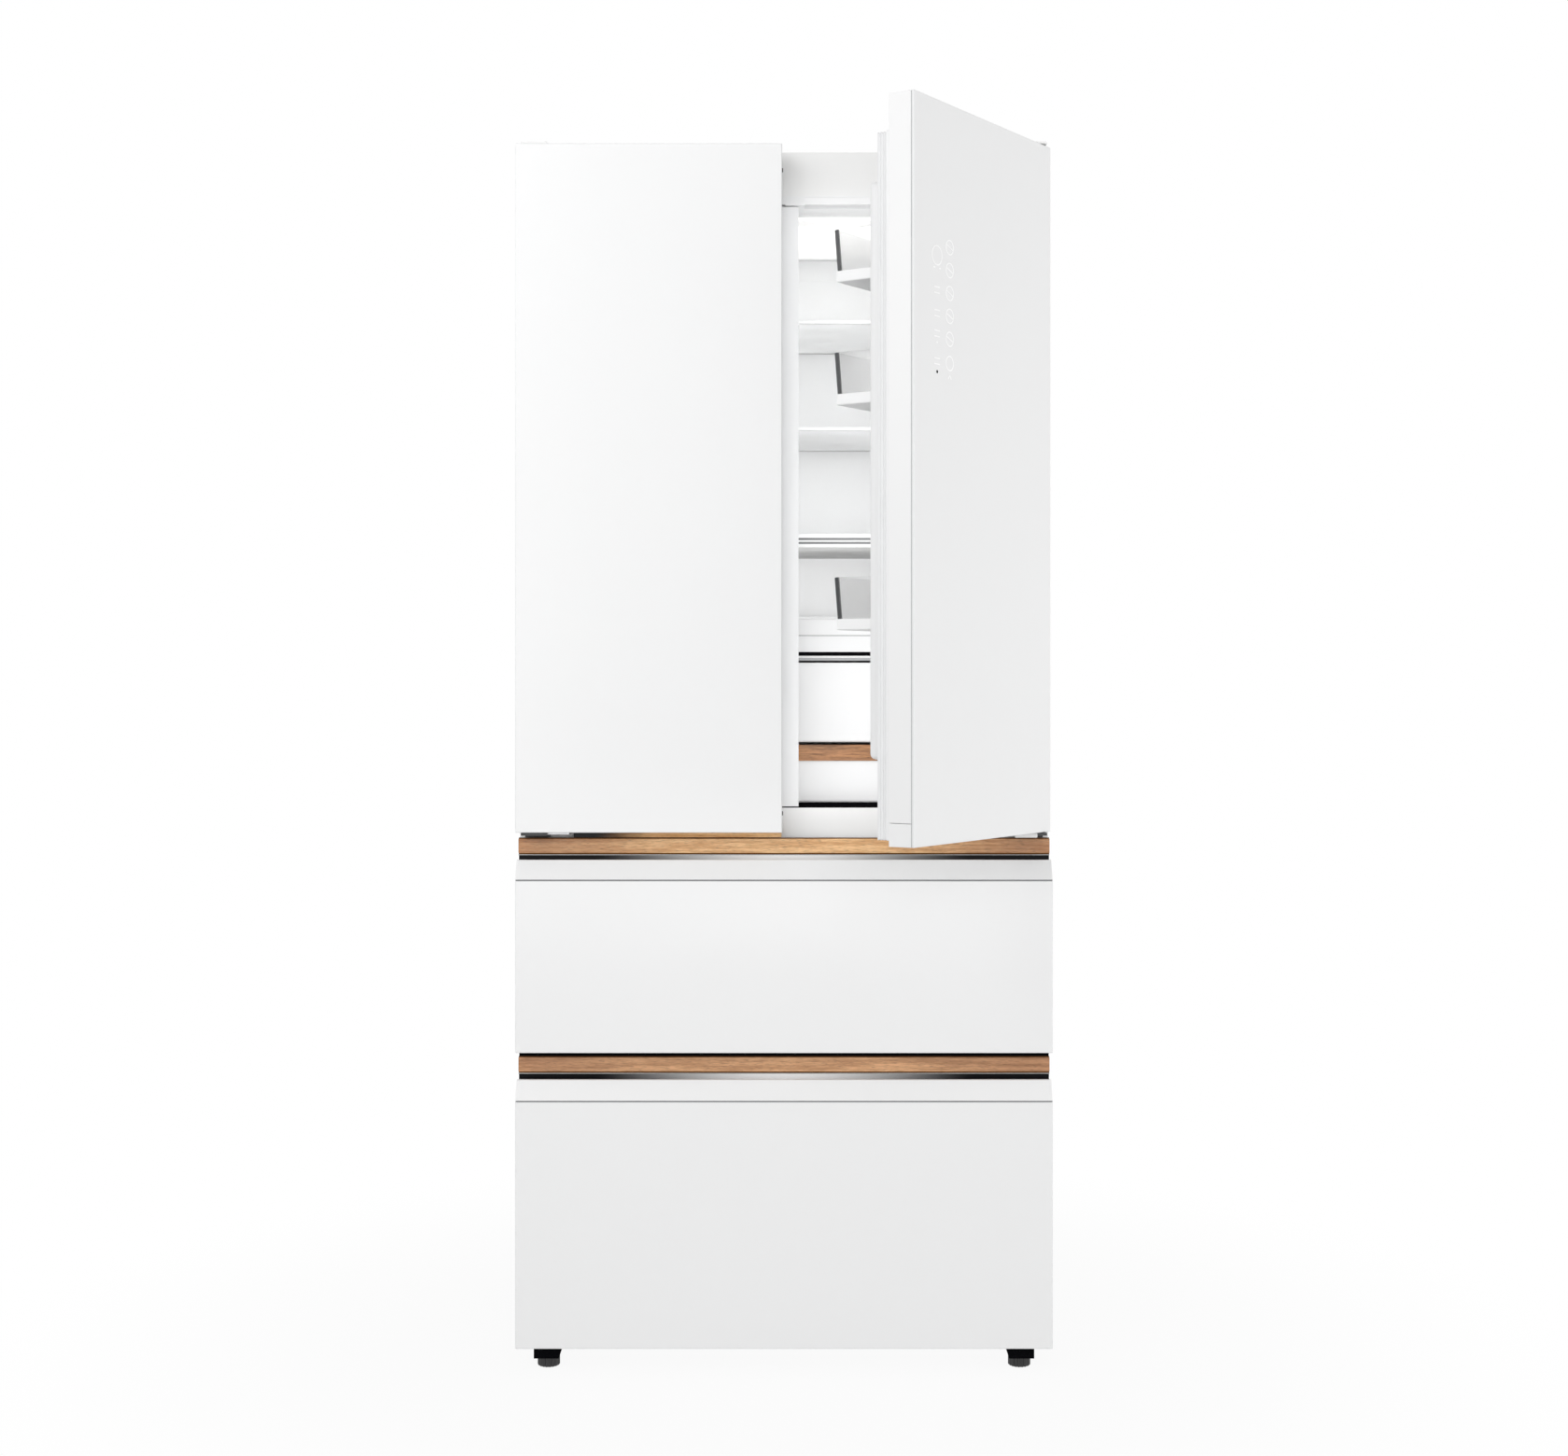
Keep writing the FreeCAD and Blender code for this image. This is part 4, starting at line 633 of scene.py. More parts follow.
def mullion_lugs(bm):
    """Two lugs at the liner's rim, with the knuckles and pins that the mullion folds on."""
    tall = 0.010
    for start, pin in ((RIM_LOW + 0.014, 0.015), (RIM_TOP - 0.024, -0.005)):
        slab(bm, (-0.050, -0.1045, start), (-0.0305, -0.094, start + tall), 0.001)
        disc(bm, (MULLION_X, MULLION_Y, start + tall / 2), 0.0077, tall, "z")
        disc(bm, (MULLION_X, MULLION_Y, start + pin), 0.003, 0.029, "z", 16)


def door_lining(side):
    """Inner liner: a stepped plate and a raised rim round the bins."""
    rim_wall = 0.0035
    floor_thick = 0.0015
    bm = bmesh.new()
    x0, x1 = door_x(side, 0.004, DOOR_WIDTH - 0.004)
    slab(bm, (x0, FRONT + 0.0415, PLATE_LOW), (x1, FRONT + PLATE_DEPTH, PLATE_TOP), 0.0022, 3)
    x0, x1 = door_x(side, 0.058, DOOR_WIDTH - 0.045)
    low = Vector((x0, FRONT + 0.049, RIM_LOW))
    high = Vector((x1, FRONT + RIM_DEPTH, RIM_TOP))
    verts = block(bm, low, high)
    faces = [face for vert in verts for face in vert.link_faces]
    shoulder = list(max(faces, key=lambda item: item.calc_center_median().y).edges)
    corners = [edge for edge in edges_of(verts) if along(edge, 1)]
    round_edges(bm, shoulder + corners, 0.009, 4)
    facing_back = [item for item in bm.faces if item.normal.y > STRAIGHT]
    rear = [item for item in facing_back if item.calc_center_median().y > high.y - CLOSE]
    bmesh.ops.inset_region(bm, faces=rear, thickness=rim_wall, use_even_offset=True)
    sunk = bmesh.ops.extrude_discrete_faces(bm, faces=rear)["faces"]
    for item in sunk:
        bmesh.ops.translate(bm, vec=(0, low.y + floor_thick - high.y, 0), verts=item.verts)
    if side == "left":
        mullion_lugs(bm)
    node = f"{side}_door_liner"
    put(f"{side}_door_lining", bm, f"{side}_door", liner_white, (node,), door_swing(side))


def seal_ring(bm, low, high, wide):
    """A frame of hollow seal with pleats round its depth."""
    pleat = 0.0022
    levels = 6
    low = Vector(low)
    high = Vector(high)
    spots = ((low.x, low.z), (high.x, low.z), (high.x, high.z), (low.x, high.z))
    face = bm.faces.new([bm.verts.new((x, low.y, z)) for x, z in spots])
    bm.normal_update()
    bmesh.ops.inset_region(bm, faces=[face], thickness=wide, use_boundary=True, use_even_offset=True)
    bmesh.ops.delete(bm, geom=[face], context="FACES")
    deep = high.y - low.y
    towards = 1 if bm.faces[:][0].normal.y > 0 else -1
    bmesh.ops.solidify(bm, geom=bm.faces[:], thickness=-deep * towards)
    runs = [edge for edge in bm.edges if along(edge, 1)]
    bmesh.ops.subdivide_edges(bm, edges=runs, cuts=levels - 1, use_grid_fill=True)
    middle = (low + high) / 2
    for vert in bm.verts:
        level = round((vert.co.y - low.y) / deep * levels)
        if level % 2 == 0:
            continue
        outer = abs(abs(vert.co.x - middle.x) - (high.x - low.x) / 2) < CLOSE
        pinch = -pleat if outer else pleat
        vert.co.x += math.copysign(1, vert.co.x - middle.x) * pinch
        vert.co.z += math.copysign(1, vert.co.z - middle.z) * pinch


def door_seal(side):
    """Magnetic seal on the liner step."""
    x0, x1 = door_x(side, 0.026, DOOR_WIDTH - 0.008)
    bm = bmesh.new()
    seal_ring(bm, (x0, FRONT + PLATE_DEPTH, PLATE_LOW), (x1, FRONT + SEAL_DEPTH, PLATE_TOP), SEAL_WIDE)
    node = f"{side}_door_gasket"
    put(f"{side}_door_seal", bm, f"{side}_door", seal_white, (node,), door_swing(side))


def bin_tray(x0, x1, foot):
    """White tray of a bin, with a raised floor."""
    part = bmesh.new()
    open_tub(part, (x0, BIN_NEAR, foot), (x1, BIN_FAR - 0.0035, foot + 0.0165), 0.0025, 0.0022)
    level = [face for face in part.faces if face.normal.z > STRAIGHT]
    floor = max(level, key=lambda face: face.calc_area())
    lift = foot + 0.0135 - floor.calc_center_median().z
    bmesh.ops.translate(part, vec=(0, 0, lift), verts=floor.verts)
    return part


def bin_guard(x0, x1, foot):
    """Clear guard round three sides of a bin, leaning out at the front."""
    side_gap = 0.0004
    guard_thick = 0.0022
    part = bmesh.new()
    low = (x0 + side_gap, BIN_NEAR, foot + GUARD_RISE)
    high = (x1 - side_gap, BIN_FAR, foot + BIN_HEIGHT)
    verts = block(part, low, high)
    away = [face for face in part.faces if abs(face.normal.z) > STRAIGHT or face.normal.y < -STRAIGHT]
    for vert in verts:
        if vert.co.z < foot + 0.03 and vert.co.y > BIN_FAR - 0.001:
            vert.co.y -= BIN_LEAN
    bmesh.ops.delete(part, geom=away, context="FACES")
    upright = [edge for edge in part.edges if len(edge.link_faces) == 2]
    round_edges(part, upright, 0.004, 3)
    bmesh.ops.recalc_face_normals(part, faces=part.faces)
    bmesh.ops.solidify(part, geom=part.faces[:], thickness=guard_thick)
    rim = [edge for edge in part.edges if edge.is_manifold and edge.calc_face_angle() > SHARP]
    round_edges(part, rim, 0.0005, 2)
    return part


def bin_edge(x, foot):
    """Painted dark line, standing in for refraction, where the guard's front meets its side."""
    part = bmesh.new()
    half = 0.0021
    head = foot + BIN_HEIGHT
    low = (x - half, BIN_FAR - 0.0068, foot + 0.0155)
    slab(part, low, (x + half, BIN_FAR - 0.0003, head - 0.0005), 0.0006)
    for vert in part.verts:
        vert.co.y -= BIN_LEAN * (head - vert.co.z) / (BIN_HEIGHT - GUARD_RISE)
    return part


def door_bins(side):
    """Three bins: white tray, clear guard and the painted dark lines at its front corners, standing in for
    refraction.
    """
    edge_inset = 0.0022
    swing = door_swing(side)
    body = f"{side}_door"
    x0, x1 = door_x(side, 0.0704, DOOR_WIDTH - 0.0574)
    trays = bmesh.new()
    guards = bmesh.new()
    edges = bmesh.new()
    for foot in BIN_FEET:
        join_into(trays, bin_tray(x0, x1, foot))
        join_into(guards, bin_guard(x0, x1, foot))
        for x in (x0 + edge_inset, x1 - edge_inset):
            join_into(edges, bin_edge(x, foot))
    put(f"{side}_bin_trays", trays, body, tub_white, (f"{side}_door_bins",), swing)
    put(f"{side}_bin_guards", guards, body, bin_clear, swing=swing)
    put(f"{side}_bin_edges", edges, body, smoked_edge, swing=swing)


def door_bumpers():
    """Small dark bumper on the left door's free edge, and its twin lower down."""
    bm = bmesh.new()
    for z in (DOOR_TOP - 0.0335, DOOR_LOW + 0.028):
        disc(bm, (-0.0032, FRONT + 0.036, z), 0.0035, 0.0035, "x", 16)
    put("left_door_bumpers", bm, "left_door", foot_black)


def reflection_strip_under_door():
    """Wood-look strip under the closed left door: a painted reflection of the drawer's wood strip in the
    sill, with painted shade towards the hinge.
    """
    low = (-0.330, FRONT + 0.0418, STRIP_LOW["upper"] + STRIP_HEIGHT + 0.0006)
    high = (-DOOR_GAP - 0.001, FRONT + 0.0492, DOOR_LOW + 0.0079)
    bar("left_door_sweep", low, high, 0.0005, "left_door", "wood_look", reflection_oak)


for side in ("left", "right"):
    door_shell(side)
    door_lining(side)
    door_seal(side)
    door_bins(side)
door_bumpers()
reflection_strip_under_door()
softened("flip_mullion", "folding_mullion", 0.0012, mullion_satin)


# Touch controls on the right door's glass


def icon_ring(bm, across, up, radius, line):
    """A thin ring that lies on the glass."""
    made = bmesh.ops.create_circle(bm, cap_ends=False, segments=40, radius=radius)["verts"]
    outer = bmesh.ops.extrude_edge_only(bm, edges=edges_of(made))["geom"]
    grown = [item for item in outer if isinstance(item, bmesh.types.BMVert)]
    bmesh.ops.scale(bm, vec=((radius - line) / radius,) * 3, verts=grown)
    bmesh.ops.translate(bm, vec=(across, up, 0), verts=made + grown)


def icon_bar(bm, across, up, wide, tall, lean=0.0):
    """A short dash."""
    made = bmesh.ops.create_grid(bm, x_segments=1, y_segments=1, size=0.5)["verts"]
    bmesh.ops.scale(bm, vec=(wide, tall, 1), verts=made)
    bmesh.ops.rotate(bm, cent=(0, 0, 0), matrix=Matrix.Rotation(lean, 3, "Z"), verts=made)
    bmesh.ops.translate(bm, vec=(across, up, 0), verts=made)


def touch_icons():
    """Two columns of plain marks on the glass, with a faint painted glow, and the dark sensor dot below
    them.
    """
    line = 0.0018
    left = 0.064
    right = 0.100
    small_ring = 0.0112
    large_ring = 0.0146
    slashed = (0.2070, 0.2401, 0.2732, 0.3063, 0.3394)
    paired = (0.2732, 0.3064, 0.3356, 0.3752)
    swing = door_swing("right")
    bm = bmesh.new()
    for drop in (*slashed, 0.3745):
        icon_ring(bm, right, -drop, small_ring, line)
    for drop in slashed:
        icon_bar(bm, right, -drop, 0.0200, line, -0.35)
    for shift, lean in ((-0.0022, 0.9), (0.0022, -0.9)):
        icon_bar(bm, right + shift, -0.3945, 0.0065, line, lean)
    icon_ring(bm, left, -0.2237, large_ring, line)
    for shift in (-0.0080, 0.0080):
        icon_bar(bm, left + shift, -0.2415, 0.0045, line)
    for drop in paired:
        for shift in (-0.0042, 0.0042):
            icon_bar(bm, left, shift - drop, 0.0150, line)
    icon_bar(bm, left, -0.3482, 0.0030, 0.0026)
    corner = Matrix.Translation((DOOR_GAP, FRONT - 0.00005, DOOR_TOP))
    bmesh.ops.transform(bm, matrix=corner @ AXIS_TURN["y"], verts=bm.verts)
    bmesh.ops.recalc_face_normals(bm, faces=bm.faces)
    bmesh.ops.solidify(bm, geom=bm.faces[:], thickness=0.00012)
    put("touch_icons", bm, "right_door", icon_white, swing=swing)
    bm = bmesh.new()
    disc(bm, (DOOR_GAP + left, FRONT + 0.0002, DOOR_TOP - 0.3904), 0.0024, 0.001, "y", 20)
    put("sensor_dot", bm, "right_door", recess_black, swing=swing)


touch_icons()


# Drawers


def cross_bar(name, inset, depths, heights, radius, body, slot, look, stands_for=(), segments=2):
    """A rounded strip across the front, between two depths behind it and two heights."""
    low = (inset - HALF_WIDTH, FRONT + depths[0], heights[0])
    high = (HALF_WIDTH - inset, FRONT + depths[1], heights[1])
    bar(name, low, high, radius, body, slot, look, stands_for, segments=segments)


def drawer_front(name, wood):
    """Glass panel, seam, case with the bevelled pull, wood strip and its shade strip, bead, and recess
    lining with painted shade towards both ends.
    """
    body = f"{name}_drawer"
    foot = STRIP_LOW[name]
    head = foot + STRIP_HEIGHT
    lip_top = foot - STRIP_GAP
    lip_low = lip_top - LIP_HEIGHT
    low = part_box(f"{name}_drawer_glass")[0].z
    corners = (-HALF_WIDTH, FRONT, low), (HALF_WIDTH, FRONT + GLASS_THICK, lip_low - 0.0022)
    glass_panel(f"{body}_panel", *corners, body, f"{body}_glass")
    heights = (lip_low - 0.0030, lip_low + 0.0004)
    cross_bar(f"{body}_seam", 0.0005, (0.0006, 0.0038), heights, 0.0002, body, "grey_gasket", lip_seam)
    softened(f"{body}_case", f"{body}_front", 0.0008, case_white, 3)
    depths = (0.041, 0.0460)
    heights = (foot + 0.0020, head - 0.0016)
    stands_for = (f"{body}_strip",)
    cross_bar(f"{name}_wood_strip", 0.0, depths, heights, 0.0007, body, "wood_look", wood, stands_for, 3)
    heights = (foot - 0.0002, head)
    depths = (0.0423, STRIP_BACK)
    cross_bar(f"{name}_strip_shade", 0.0004, depths, heights, 0.0003, body, "black_plastic", strip_shade)
    heights = (foot - 0.0016, foot - 0.0001)
    depths = (0.0414, STRIP_BACK)
    cross_bar(f"{name}_strip_bead", 0.0, depths, heights, 0.0005, body, "coil_aluminium", silver_bead)
    # The recess lining: painted shade, black towards both ends.
    heights = (lip_top - 0.0195, foot - 0.0014)
    depths = (0.0412, STRIP_BACK)
    cross_bar(f"{name}_pull_lining", 0.001, depths, heights, 0.0003, body, "black_plastic", lining_with_painted_shade)


def strip_shadow_ledge():
    """Black ledge on top of the lower wood strip: painted shadow of the gap under the upper drawer."""
    name = "lower_strip_cap"
    body = "lower_drawer"
    top = STRIP_LOW["lower"] + STRIP_HEIGHT
    heights = (top - 0.0002, top + 0.0105)
    cross_bar(name, 0.001, (0.0440, 0.0545), heights, 0.0004, body, "black_plastic", recess_black)


def drawer_seal(name):
    """Seal ring behind a drawer front."""
    low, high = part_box(f"{name}_drawer_gasket")
    bm = bmesh.new()
    seal_ring(bm, low, high, SEAL_WIDE)
    stands_for = (f"{name}_drawer_gasket",)
    put(f"{name}_drawer_seal", bm, f"{name}_drawer", seal_white, stands_for)


def rounded_tub(name, node, body, wall, radius):
    """A basket or an inner drawer with rounded corners and a rolled rim."""
    low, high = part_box(node)
    bm = bmesh.new()
    open_tub(bm, low, high, wall, radius)
    put(name, bm, body, tub_white, (node,))


# The lower drawer's wood is a darker copy of the upper's: painted shade.
for name, wood in (("upper", oak_foil), ("lower", low_oak_foil)):
    drawer_front(name, wood)
    drawer_seal(name)
    rounded_tub(f"{name}_basket", f"{name}_drawer_basket", f"{name}_drawer", 0.0025, 0.014)
strip_shadow_ledge()


# Fridge compartment


def shelf_edges():
    """Front trims and rear lips of the shelves; the lowest has a grooved trim and a grey plate under it
    that paints the shade of its underside.
    """
    low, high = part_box("shelf_trims")
    rear = shelf_high.y
    bm = bmesh.new()
    for top in (TOP_SHELF, (TOP_SHELF + LOW_SHELF) / 2):
        slab(bm, (low.x, low.y, top - 0.005), (high.x, high.y, top), 0.0012, 3)
        slab(bm, (low.x, rear - 0.007, top - 0.004), (high.x, rear, top + 0.009), 0.0015, 3)
    for head, foot in ((0.0, 0.0065), (0.0102, 0.0130), (0.0165, 0.0220)):
        slab(bm, (low.x, low.y, LOW_SHELF - foot), (high.x, high.y - 0.003, LOW_SHELF - head), 0.0007)
    put("shelf_edges", bm, "cabinet", trim_white, ("shelf_trims",))
    corners = (low.x, low.y + 0.0015, LOW_SHELF - 0.021), (high.x, high.y, LOW_SHELF - 0.001)
    bar("lower_shelf_grooves", *corners, 0.0005, "cabinet", "white_liner", lip_seam)
    # Grey plate under the lowest shelf: painted shade.
    inset = 0.001
    near = (low.x + inset, high.y - inset, LOW_SHELF - 0.0215)
    far = (high.x - inset, rear, LOW_SHELF - 0.0195)
    bar("lower_shelf_underside", near, far, 0.0005, "cabinet", "clear_glass", smoked_plate)
    # Grey band across the back wall below the lowest shelf.
    corners = (low.x, rear + 0.009, LOW_SHELF - 0.053), (high.x, rear + 0.0172, LOW_SHELF - 0.024)
    bar("rear_shelf_rail", *corners, 0.002, "cabinet", "white_liner", rail_grey, segments=3)


def header_trim():
    """White strip under the header, level with the mullion's guide block."""
    low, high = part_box("fridge_liner")
    left = (low.x + 0.006, FLANGE + 0.0002, high.z - 0.0132)
    right = (high.x - 0.006, FLANGE + 0.009, high.z - 0.0016)
    bar("header_trim", left, right, 0.0012, "cabinet", "white_liner", tub_white)


def duct_head():
    """Panel that carries the rear duct cover on up to the ceiling."""
    low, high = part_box("duct_cover")
    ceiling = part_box("ceiling_lamp")[1].z + 0.012
    corners = (low.x, low.y, high.z - 0.001), (high.x, high.y + 0.001, ceiling)
    bar("duct_head", *corners, 0.0012, "cabinet", "white_liner", tub_white)


def floor_tray():
    """Thin black slab over the compartment's floor in front of the crisper."""
    half = 0.3695
    low = (-half, FLANGE + 0.0015, FRIDGE_FLOOR - 0.0001)
    high = (half, FLANGE + 0.134, FRIDGE_FLOOR + 0.0007)
    bar("floor_tray", low, high, 0.0003, "cabinet", "black_plastic", recess_black)


def crisper_hood():
    """Cover over the inner drawers: plate, rear lip, two-band front, and below it a black strip that
    paints the shade in the grip gap.
    """
    low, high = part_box("crisper_cover")
    top = high.z
    band_back = low.y + 0.008
    line_back = low.y + 0.0075
    bm = bmesh.new()
    slab(bm, (low.x, low.y + 0.006, top - 0.006), (high.x, high.y, top - 0.002), 0.0012)
    slab(bm, (low.x, high.y - 0.006, top - 0.006), (high.x, high.y, top + 0.015), 0.0012)
    slab(bm, (low.x, low.y, top - 0.0264), (high.x, band_back, top), 0.0015, 3)
    slab(bm, (low.x, low.y + 0.0005, top - 0.0536), (high.x, band_back, top - 0.0274), 0.0012, 3)
    slab(bm, (low.x, low.y + 0.001, top - 0.0632), (high.x, band_back, top - 0.0598), 0.0008)
    put("crisper_hood", bm, "cabinet", tub_white, ("crisper_cover",))
    # Black strip in the grip gap: painted shade.
    corners = (low.x, low.y + 0.003, top - 0.0610), (high.x, line_back, top - 0.0530)
    bar("crisper_hood_gap", *corners, 0.0004, "cabinet", "black_plastic", recess_black)
    # Grey lines: a seam between the two front bands, and under the grip gap a painted shadow line of the
    # tub's lip.
    bm = bmesh.new()
    slab(bm, (low.x, low.y + 0.002, top - 0.0678), (high.x, line_back, top - 0.0628), 0.0005)
    slab(bm, (low.x, low.y + 0.002, top - 0.0280), (high.x, line_back, top - 0.0258), 0.0003)
    put("crisper_hood_lines", bm, "cabinet", seam_grey)


shelf_edges()
header_trim()
duct_head()
floor_tray()
crisper_hood()
rounded_tub("chill_tub", "chill_drawer", "chill_drawer", 0.003, 0.004)
rounded_tub("crisper_tub", "crisper_drawer", "crisper", 0.003, 0.004)
# The inner trim's wood is a darker copy of the oak: painted shade.
softened("crisper_trim", "crisper_wood_trim", 0.0008, inner_walnut)
softened("duct_cover", "rear_duct_cover", 0.0015, liner_white)
softened("ceiling_lamp", "ceiling_light", 0.0012, lamp_glow)


# Top, back and underside


def hinge_hoods():
    """Rounded covers over the top hinges, each with a screw cap."""
    low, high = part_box("hinge_covers")
    half = 0.026
    bm = bmesh.new()
    for middle in (-HINGE_X, HINGE_X):
        part = bmesh.new()
        edges = edges_of(block(part, (middle - half, low.y, low.z), (middle + half, high.y, high.z)))
        raised = [edge for edge in edges if not level_with(edge, low.z)]
        round_edges(part, raised, 0.0045, 4)
        disc(part, (middle, FLANGE + 0.070, high.z), 0.0045, 0.0012, "z", 20)
        join_into(bm, part)
    put("hinge_hoods", bm, "cabinet", case_white, ("hinge_covers",), smooth=True)


def hinge_arms():
    """Bright stop arms beside the lower hinge plates, and the white nose of the right one."""
    head = DOOR_LOW - 0.0013
    bm = bmesh.new()
    for x0, x1 in ((-0.3690, -0.3350), (0.3350, 0.3690)):
        slab(bm, (x0, FRONT + 0.024, DOOR_LOW - 0.0045), (x1, FRONT + 0.064, head), 0.0006)
    put("hinge_arms", bm, "cabinet", zinc_steel)
    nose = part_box("mid_hinges")[0].y
    corners = (0.358, nose - 0.005, DOOR_LOW - 0.0079), (0.393, nose + 0.0005, head)
    bar("right_hinge_nose", *corners, 0.0012, "cabinet", "white_steel", painted_steel, segments=3)


def back_beads(back):
    """Pressed stiffening beads on the back panel."""
    half = 0.022
    bm = bmesh.new()
    for x in (-0.26, 0.0, 0.26):
        part = bmesh.new()
        edges = edges_of(block(part, (x - half, back - 0.0004, 0.50), (x + half, back + 0.0016, 1.78)))
        round_edges(part, [edge for edge in edges if along(edge, 1)], 0.0215, 6)
        crown = max(part.faces, key=lambda face: face.calc_center_median().y)
        round_edges(part, list(crown.edges), 0.0015, 3)
        join_into(bm, part)
    put("back_beads", bm, "cabinet", zinc_steel, smooth=True)


def back_screws(back):
    """Slotted screws along the back panel's rims."""
    slot_reach = 0.0026
    slot_half = 0.0004
    bm = bmesh.new()
    for z in (0.40, 0.80, 1.20, 1.60, 1.87):
        for x in (-0.400, 0.400):
            disc(bm, (x, back + 0.0006, z), 0.0042, 0.0026, "y", 20)
            low = (x - slot_reach, back + 0.0012, z - slot_half)
            slab(bm, low, (x + slot_reach, back + 0.0022, z + slot_half), 0.0001)
    put("back_screws", bm, "cabinet", zinc_steel)


def roller_wheels():
    """Rear rollers with rounded treads and hollowed faces."""
    low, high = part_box("rear_rollers")
    y = (low.y + high.y) / 2
    z = (low.z + high.z) / 2
    tread = (high.z - low.z) / 2
    hub = [(0.0042, 0.0), (0.0070, 0.0), (0.0070, 0.003)]
    rim = [(tread - 0.004, 0.003), (tread - 0.004, 0.0), (tread - 0.0014, 0.0), (tread - 0.0001, 0.002)]
    half = [(radius, 0.012 - inset) for radius, inset in hub + rim]
    spots = half + [(radius, -across) for radius, across in reversed(half)]
    turn = {"axis": (1, 0, 0), "angle": math.tau, "steps": 40, "use_merge": True}
    bm = bmesh.new()
    for middle in (-0.340, 0.340):
        part = bmesh.new()
        verts = [part.verts.new((middle + across, y, z + radius)) for radius, across in spots]
        ring = [part.edges.new(pair) for pair in zip(verts, verts[1:] + verts[:1])]
        bmesh.ops.spin(part, geom=verts + ring, cent=(middle, y, z), **turn)
        bmesh.ops.remove_doubles(part, verts=part.verts, dist=CLOSE)
        join_into(bm, part)
    put("roller_wheels", bm, "rear_rollers", foot_black, ("rear_rollers",), smooth=True)


def foot_knob(side):
    """Levelling foot: a fluted knob with a rounded sole, on its screw."""
    low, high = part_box(f"{side}_foot")
    middle = (low + high) / 2
    radius = (high.x - low.x) / 2
    flutes = 18
    flute_share = 0.93
    sole_edge = 0.0016
    bm = bmesh.new()
    sole = bmesh.ops.create_circle(bm, cap_ends=True, segments=4 * flutes, radius=radius)["verts"]
    for index, vert in enumerate(sole):
        if index % 4 in (0, 1):
            vert.co.x *= flute_share
            vert.co.y *= flute_share
    grown = bmesh.ops.extrude_face_region(bm, geom=bm.faces[:])["geom"]
    crown = [item for item in grown if isinstance(item, bmesh.types.BMVert)]
    bmesh.ops.translate(bm, vec=(0, 0, KNOB_HEIGHT), verts=crown)
    soles = [face for face in bm.faces if abs(face.calc_center_median().z) < CLOSE]
    bmesh.ops.inset_region(bm, faces=soles, thickness=sole_edge, depth=0.0, use_even_offset=True)
    for vert in bm.verts:
        if vert.co.z < CLOSE and math.hypot(vert.co.x, vert.co.y) > radius * 0.92:
            vert.co.z += sole_edge
    bmesh.ops.translate(bm, vec=(middle.x, middle.y, low.z), verts=bm.verts)
    screw_low = low.z + KNOB_HEIGHT
    disc(bm, (middle.x, middle.y, (screw_low + high.z) / 2), 0.005, high.z - screw_low, "z", 20)
    put(f"{side}_foot_knob", bm, f"{side}_foot", foot_black, (f"{side}_foot",))


hinge_hoods()
hinge_arms()
softened("foot_brackets", "foot_mounts", 0.001, recess_black)
panel_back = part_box("back_panel")[1].y
back_beads(panel_back)
back_screws(panel_back)
roller_wheels()
foot_knob("left")
foot_knob("right")


# Stage, light and camera


def looked_at(tree):
    """1 for rays that look at a surface straight, in a mirror or through glass, and 0 for the others."""
    path = tree.nodes.new("ShaderNodeLightPath").outputs
    seen = sums(tree, "MAXIMUM", path["Is Camera Ray"], path["Is Glossy Ray"])
    return sums(tree, "MAXIMUM", seen, path["Is Transmission Ray"])


def mix_shaders(tree, share, first, second, output):
    """Two shaders mixed by a share into an output node."""
    made = tree.nodes.new("ShaderNodeMixShader")
    for index, given in enumerate((share, first, second)):
        tree.links.new(given, made.inputs[index])
    tree.links.new(made.outputs["Shader"], tree.nodes[output].inputs["Surface"])


def studio_floor():
    """Pale floor that fades to white away from the refrigerator."""
    bm = bmesh.new()
    bmesh.ops.create_grid(bm, x_segments=8, y_segments=8, size=20.0)
    bmesh.ops.translate(bm, vec=(0, 0, -0.0006), verts=bm.verts)
    mesh = bpy.data.meshes.new("studio_floor")
    bm.to_mesh(mesh)
    bm.free()
    floor = bpy.data.objects.new("studio_floor", mesh)
    bpy.context.scene.collection.objects.link(floor)
    look = finish("pale_floor", {"Base Color": (0.6, 0.6, 0.6), "Roughness": 0.8})
    tree = look.node_tree
    glow = tree.nodes.new("ShaderNodeEmission")
    glow.inputs["Strength"].default_value = 1.0
    far = tree.nodes.new("ShaderNodeVectorMath")
    far.operation = "LENGTH"
    tree.links.new(object_place(tree), far.inputs[0])
    fade = spread(tree, far.outputs["Value"], 0.4, 1.4, 0.93, 1.0)
    share = sums(tree, "MULTIPLY", looked_at(tree), fade)
    matt = tree.nodes["Principled BSDF"].outputs["BSDF"]
    mix_shaders(tree, share, matt, glow.outputs["Emission"], "Material Output")
    mesh.materials.append(look)


def studio_sky():
    """Soft even light all round, seen as white."""
    world = bpy.data.worlds.new("studio_sky")
    bpy.context.scene.world = world
    world.use_nodes = True
    tree = world.node_tree
    soft = tree.nodes["Background"]
    white = tree.nodes.new("ShaderNodeBackground")
    for shader, strength in ((soft, 0.48), (white, 1.0)):
        shader.inputs["Color"].default_value = (1, 1, 1, 1)
        shader.inputs["Strength"].default_value = strength
    soft_light = soft.outputs["Background"]
    mix_shaders(tree, looked_at(tree), soft_light, white.outputs["Background"], "World Output")


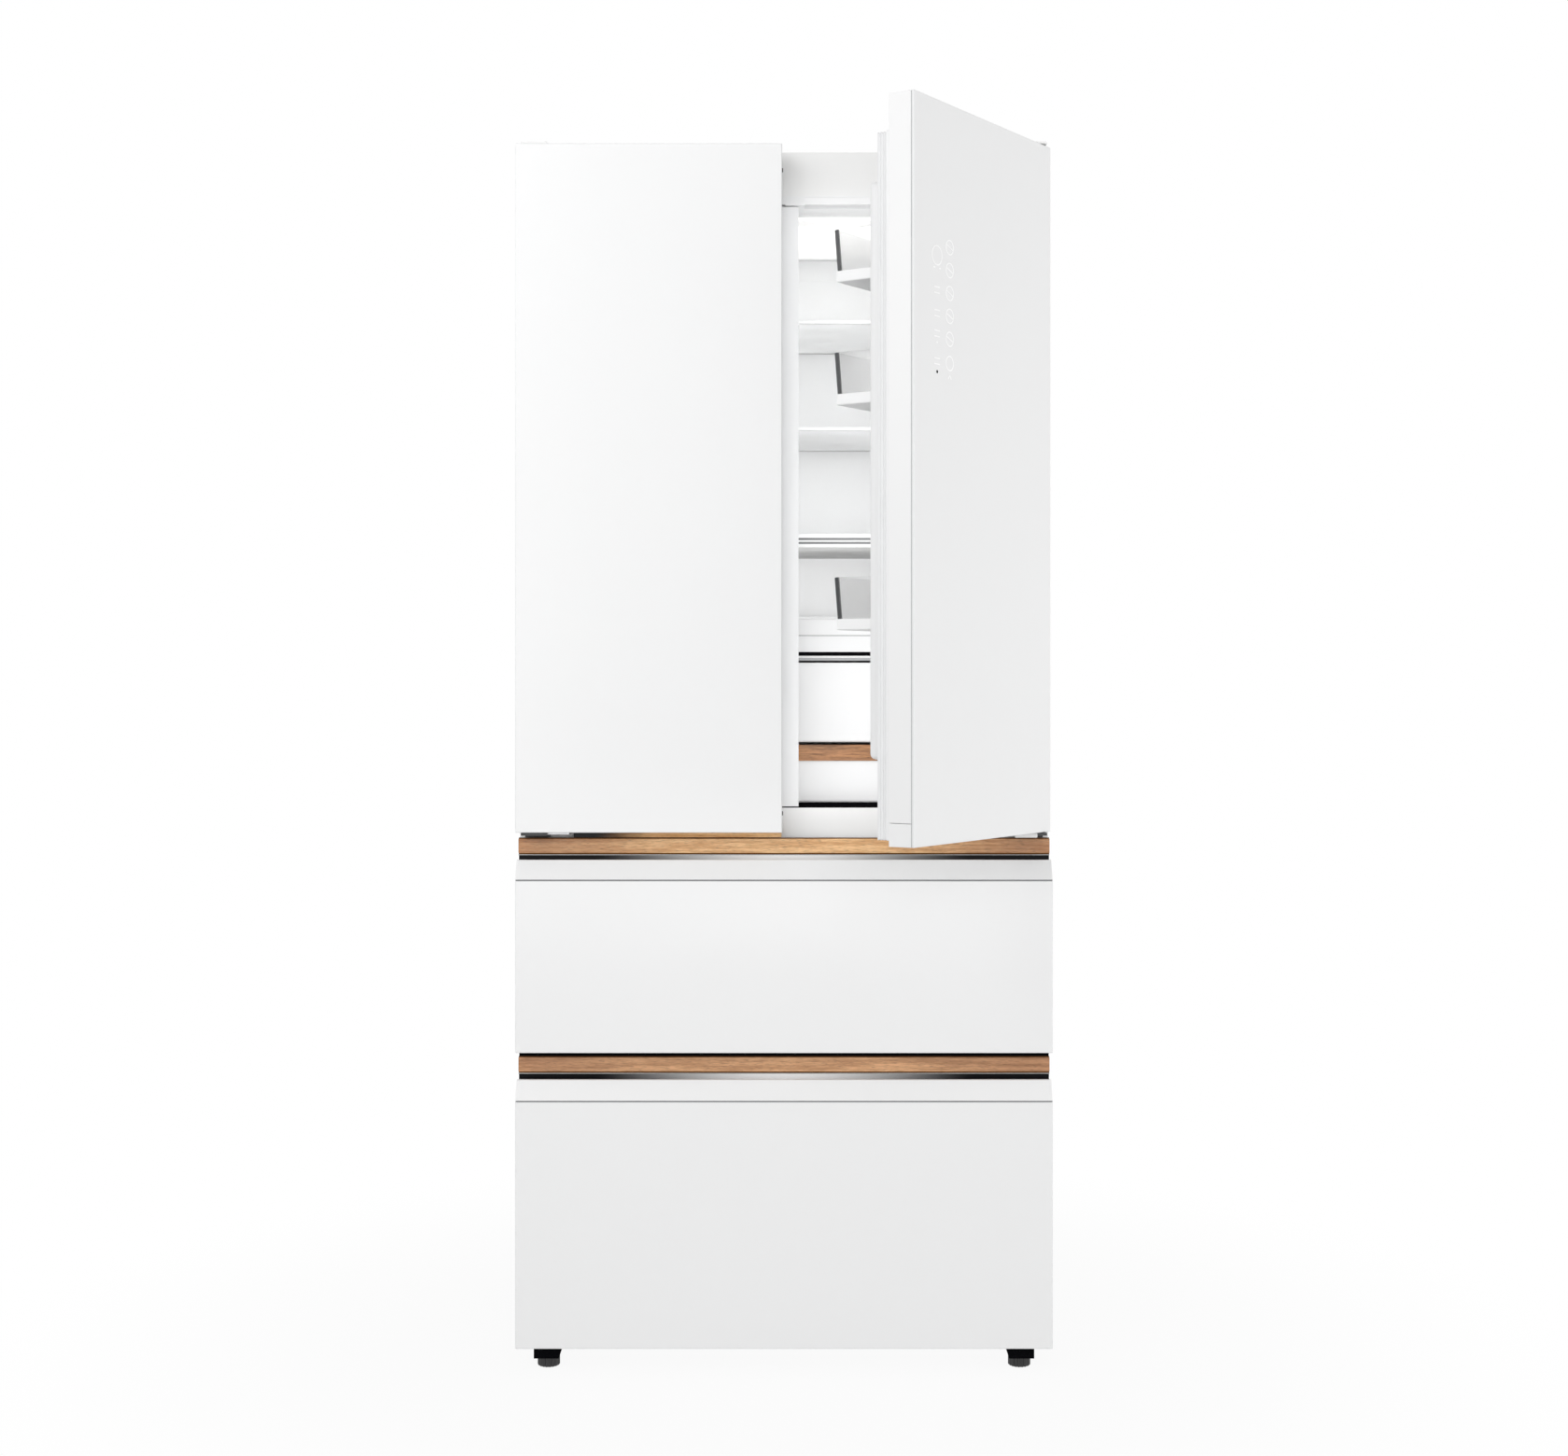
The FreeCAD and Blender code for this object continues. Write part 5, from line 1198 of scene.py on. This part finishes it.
def softbox(name, spot, target, wide, tall, power):
    """A soft lamp aimed at a point, and hidden from the camera."""
    lamp = bpy.data.lights.new(name, "AREA")
    lamp.shape = "RECTANGLE"
    lamp.size = wide
    lamp.size_y = tall
    lamp.energy = power
    made = bpy.data.objects.new(name, lamp)
    made.location = spot
    made.rotation_euler = (Vector(target) - Vector(spot)).to_track_quat("-Z", "Y").to_euler()
    made.visible_camera = False
    bpy.context.scene.collection.objects.link(made)


def inside_lamp(name, depth, height, wide, tall, power):
    """A soft lamp inside the fridge that faces straight back."""
    softbox(name, (0.0, depth, height), (0.0, depth + 1.0, height), wide, tall, power)


studio_floor()
studio_sky()
softbox("front_lamp", (-0.5, -5.6, 1.6), (0.0, FRONT, 1.1), 5.0, 5.0, 123.0)
softbox("key_lamp", (-1.6, -1.8, 2.35), (0.0, FRONT, 1.1), 1.6, 1.6, 18.5)
softbox("right_lamp", (3.5, -1.0, 1.05), (0.0, FRONT, 1.05), 3.0, 2.0, 43.0)

# Lamps inside the fridge, one for each space, because the glass shelves stop direct light
inside_lamp("gap_lamp", -0.150, 1.342, 0.70, 0.964, 0.90)
softbox("header_lamp", (0.0, -0.090, 1.77), (0.0, -0.030, 1.83), 0.66, 0.05, 0.10)
inside_lamp("trim_lamp", -0.030, 1.48, 0.66, 0.42, 0.33)
inside_lamp("inner_lamp", 0.022, 1.51, 0.50, 0.60, 1.42)
inside_lamp("shelf_lamp", 0.022, 1.395, 0.50, 0.15, 0.37)
inside_lamp("cover_lamp", 0.03, 1.23, 0.50, 0.08, 0.36)
inside_lamp("tub_lamp", -0.084, 1.045, 0.66, 0.30, 0.165)
inside_lamp("crisper_lamp", -0.060, 0.895, 0.66, 0.045, 0.065)

# Camera where the photo was taken from
lens = bpy.data.cameras.new("photo_camera")
lens.sensor_width = 36.0
lens.lens = 50.38
lens.shift_y = -0.0304
camera = bpy.data.objects.new("photo_camera", lens)
camera.location = (0.0, -3.574, 1.0706)
camera.rotation_euler = (QUARTER_TURN, 0, 0)
bpy.context.scene.collection.objects.link(camera)
bpy.context.scene.camera = camera
bpy.context.scene.view_settings.view_transform = "Standard"
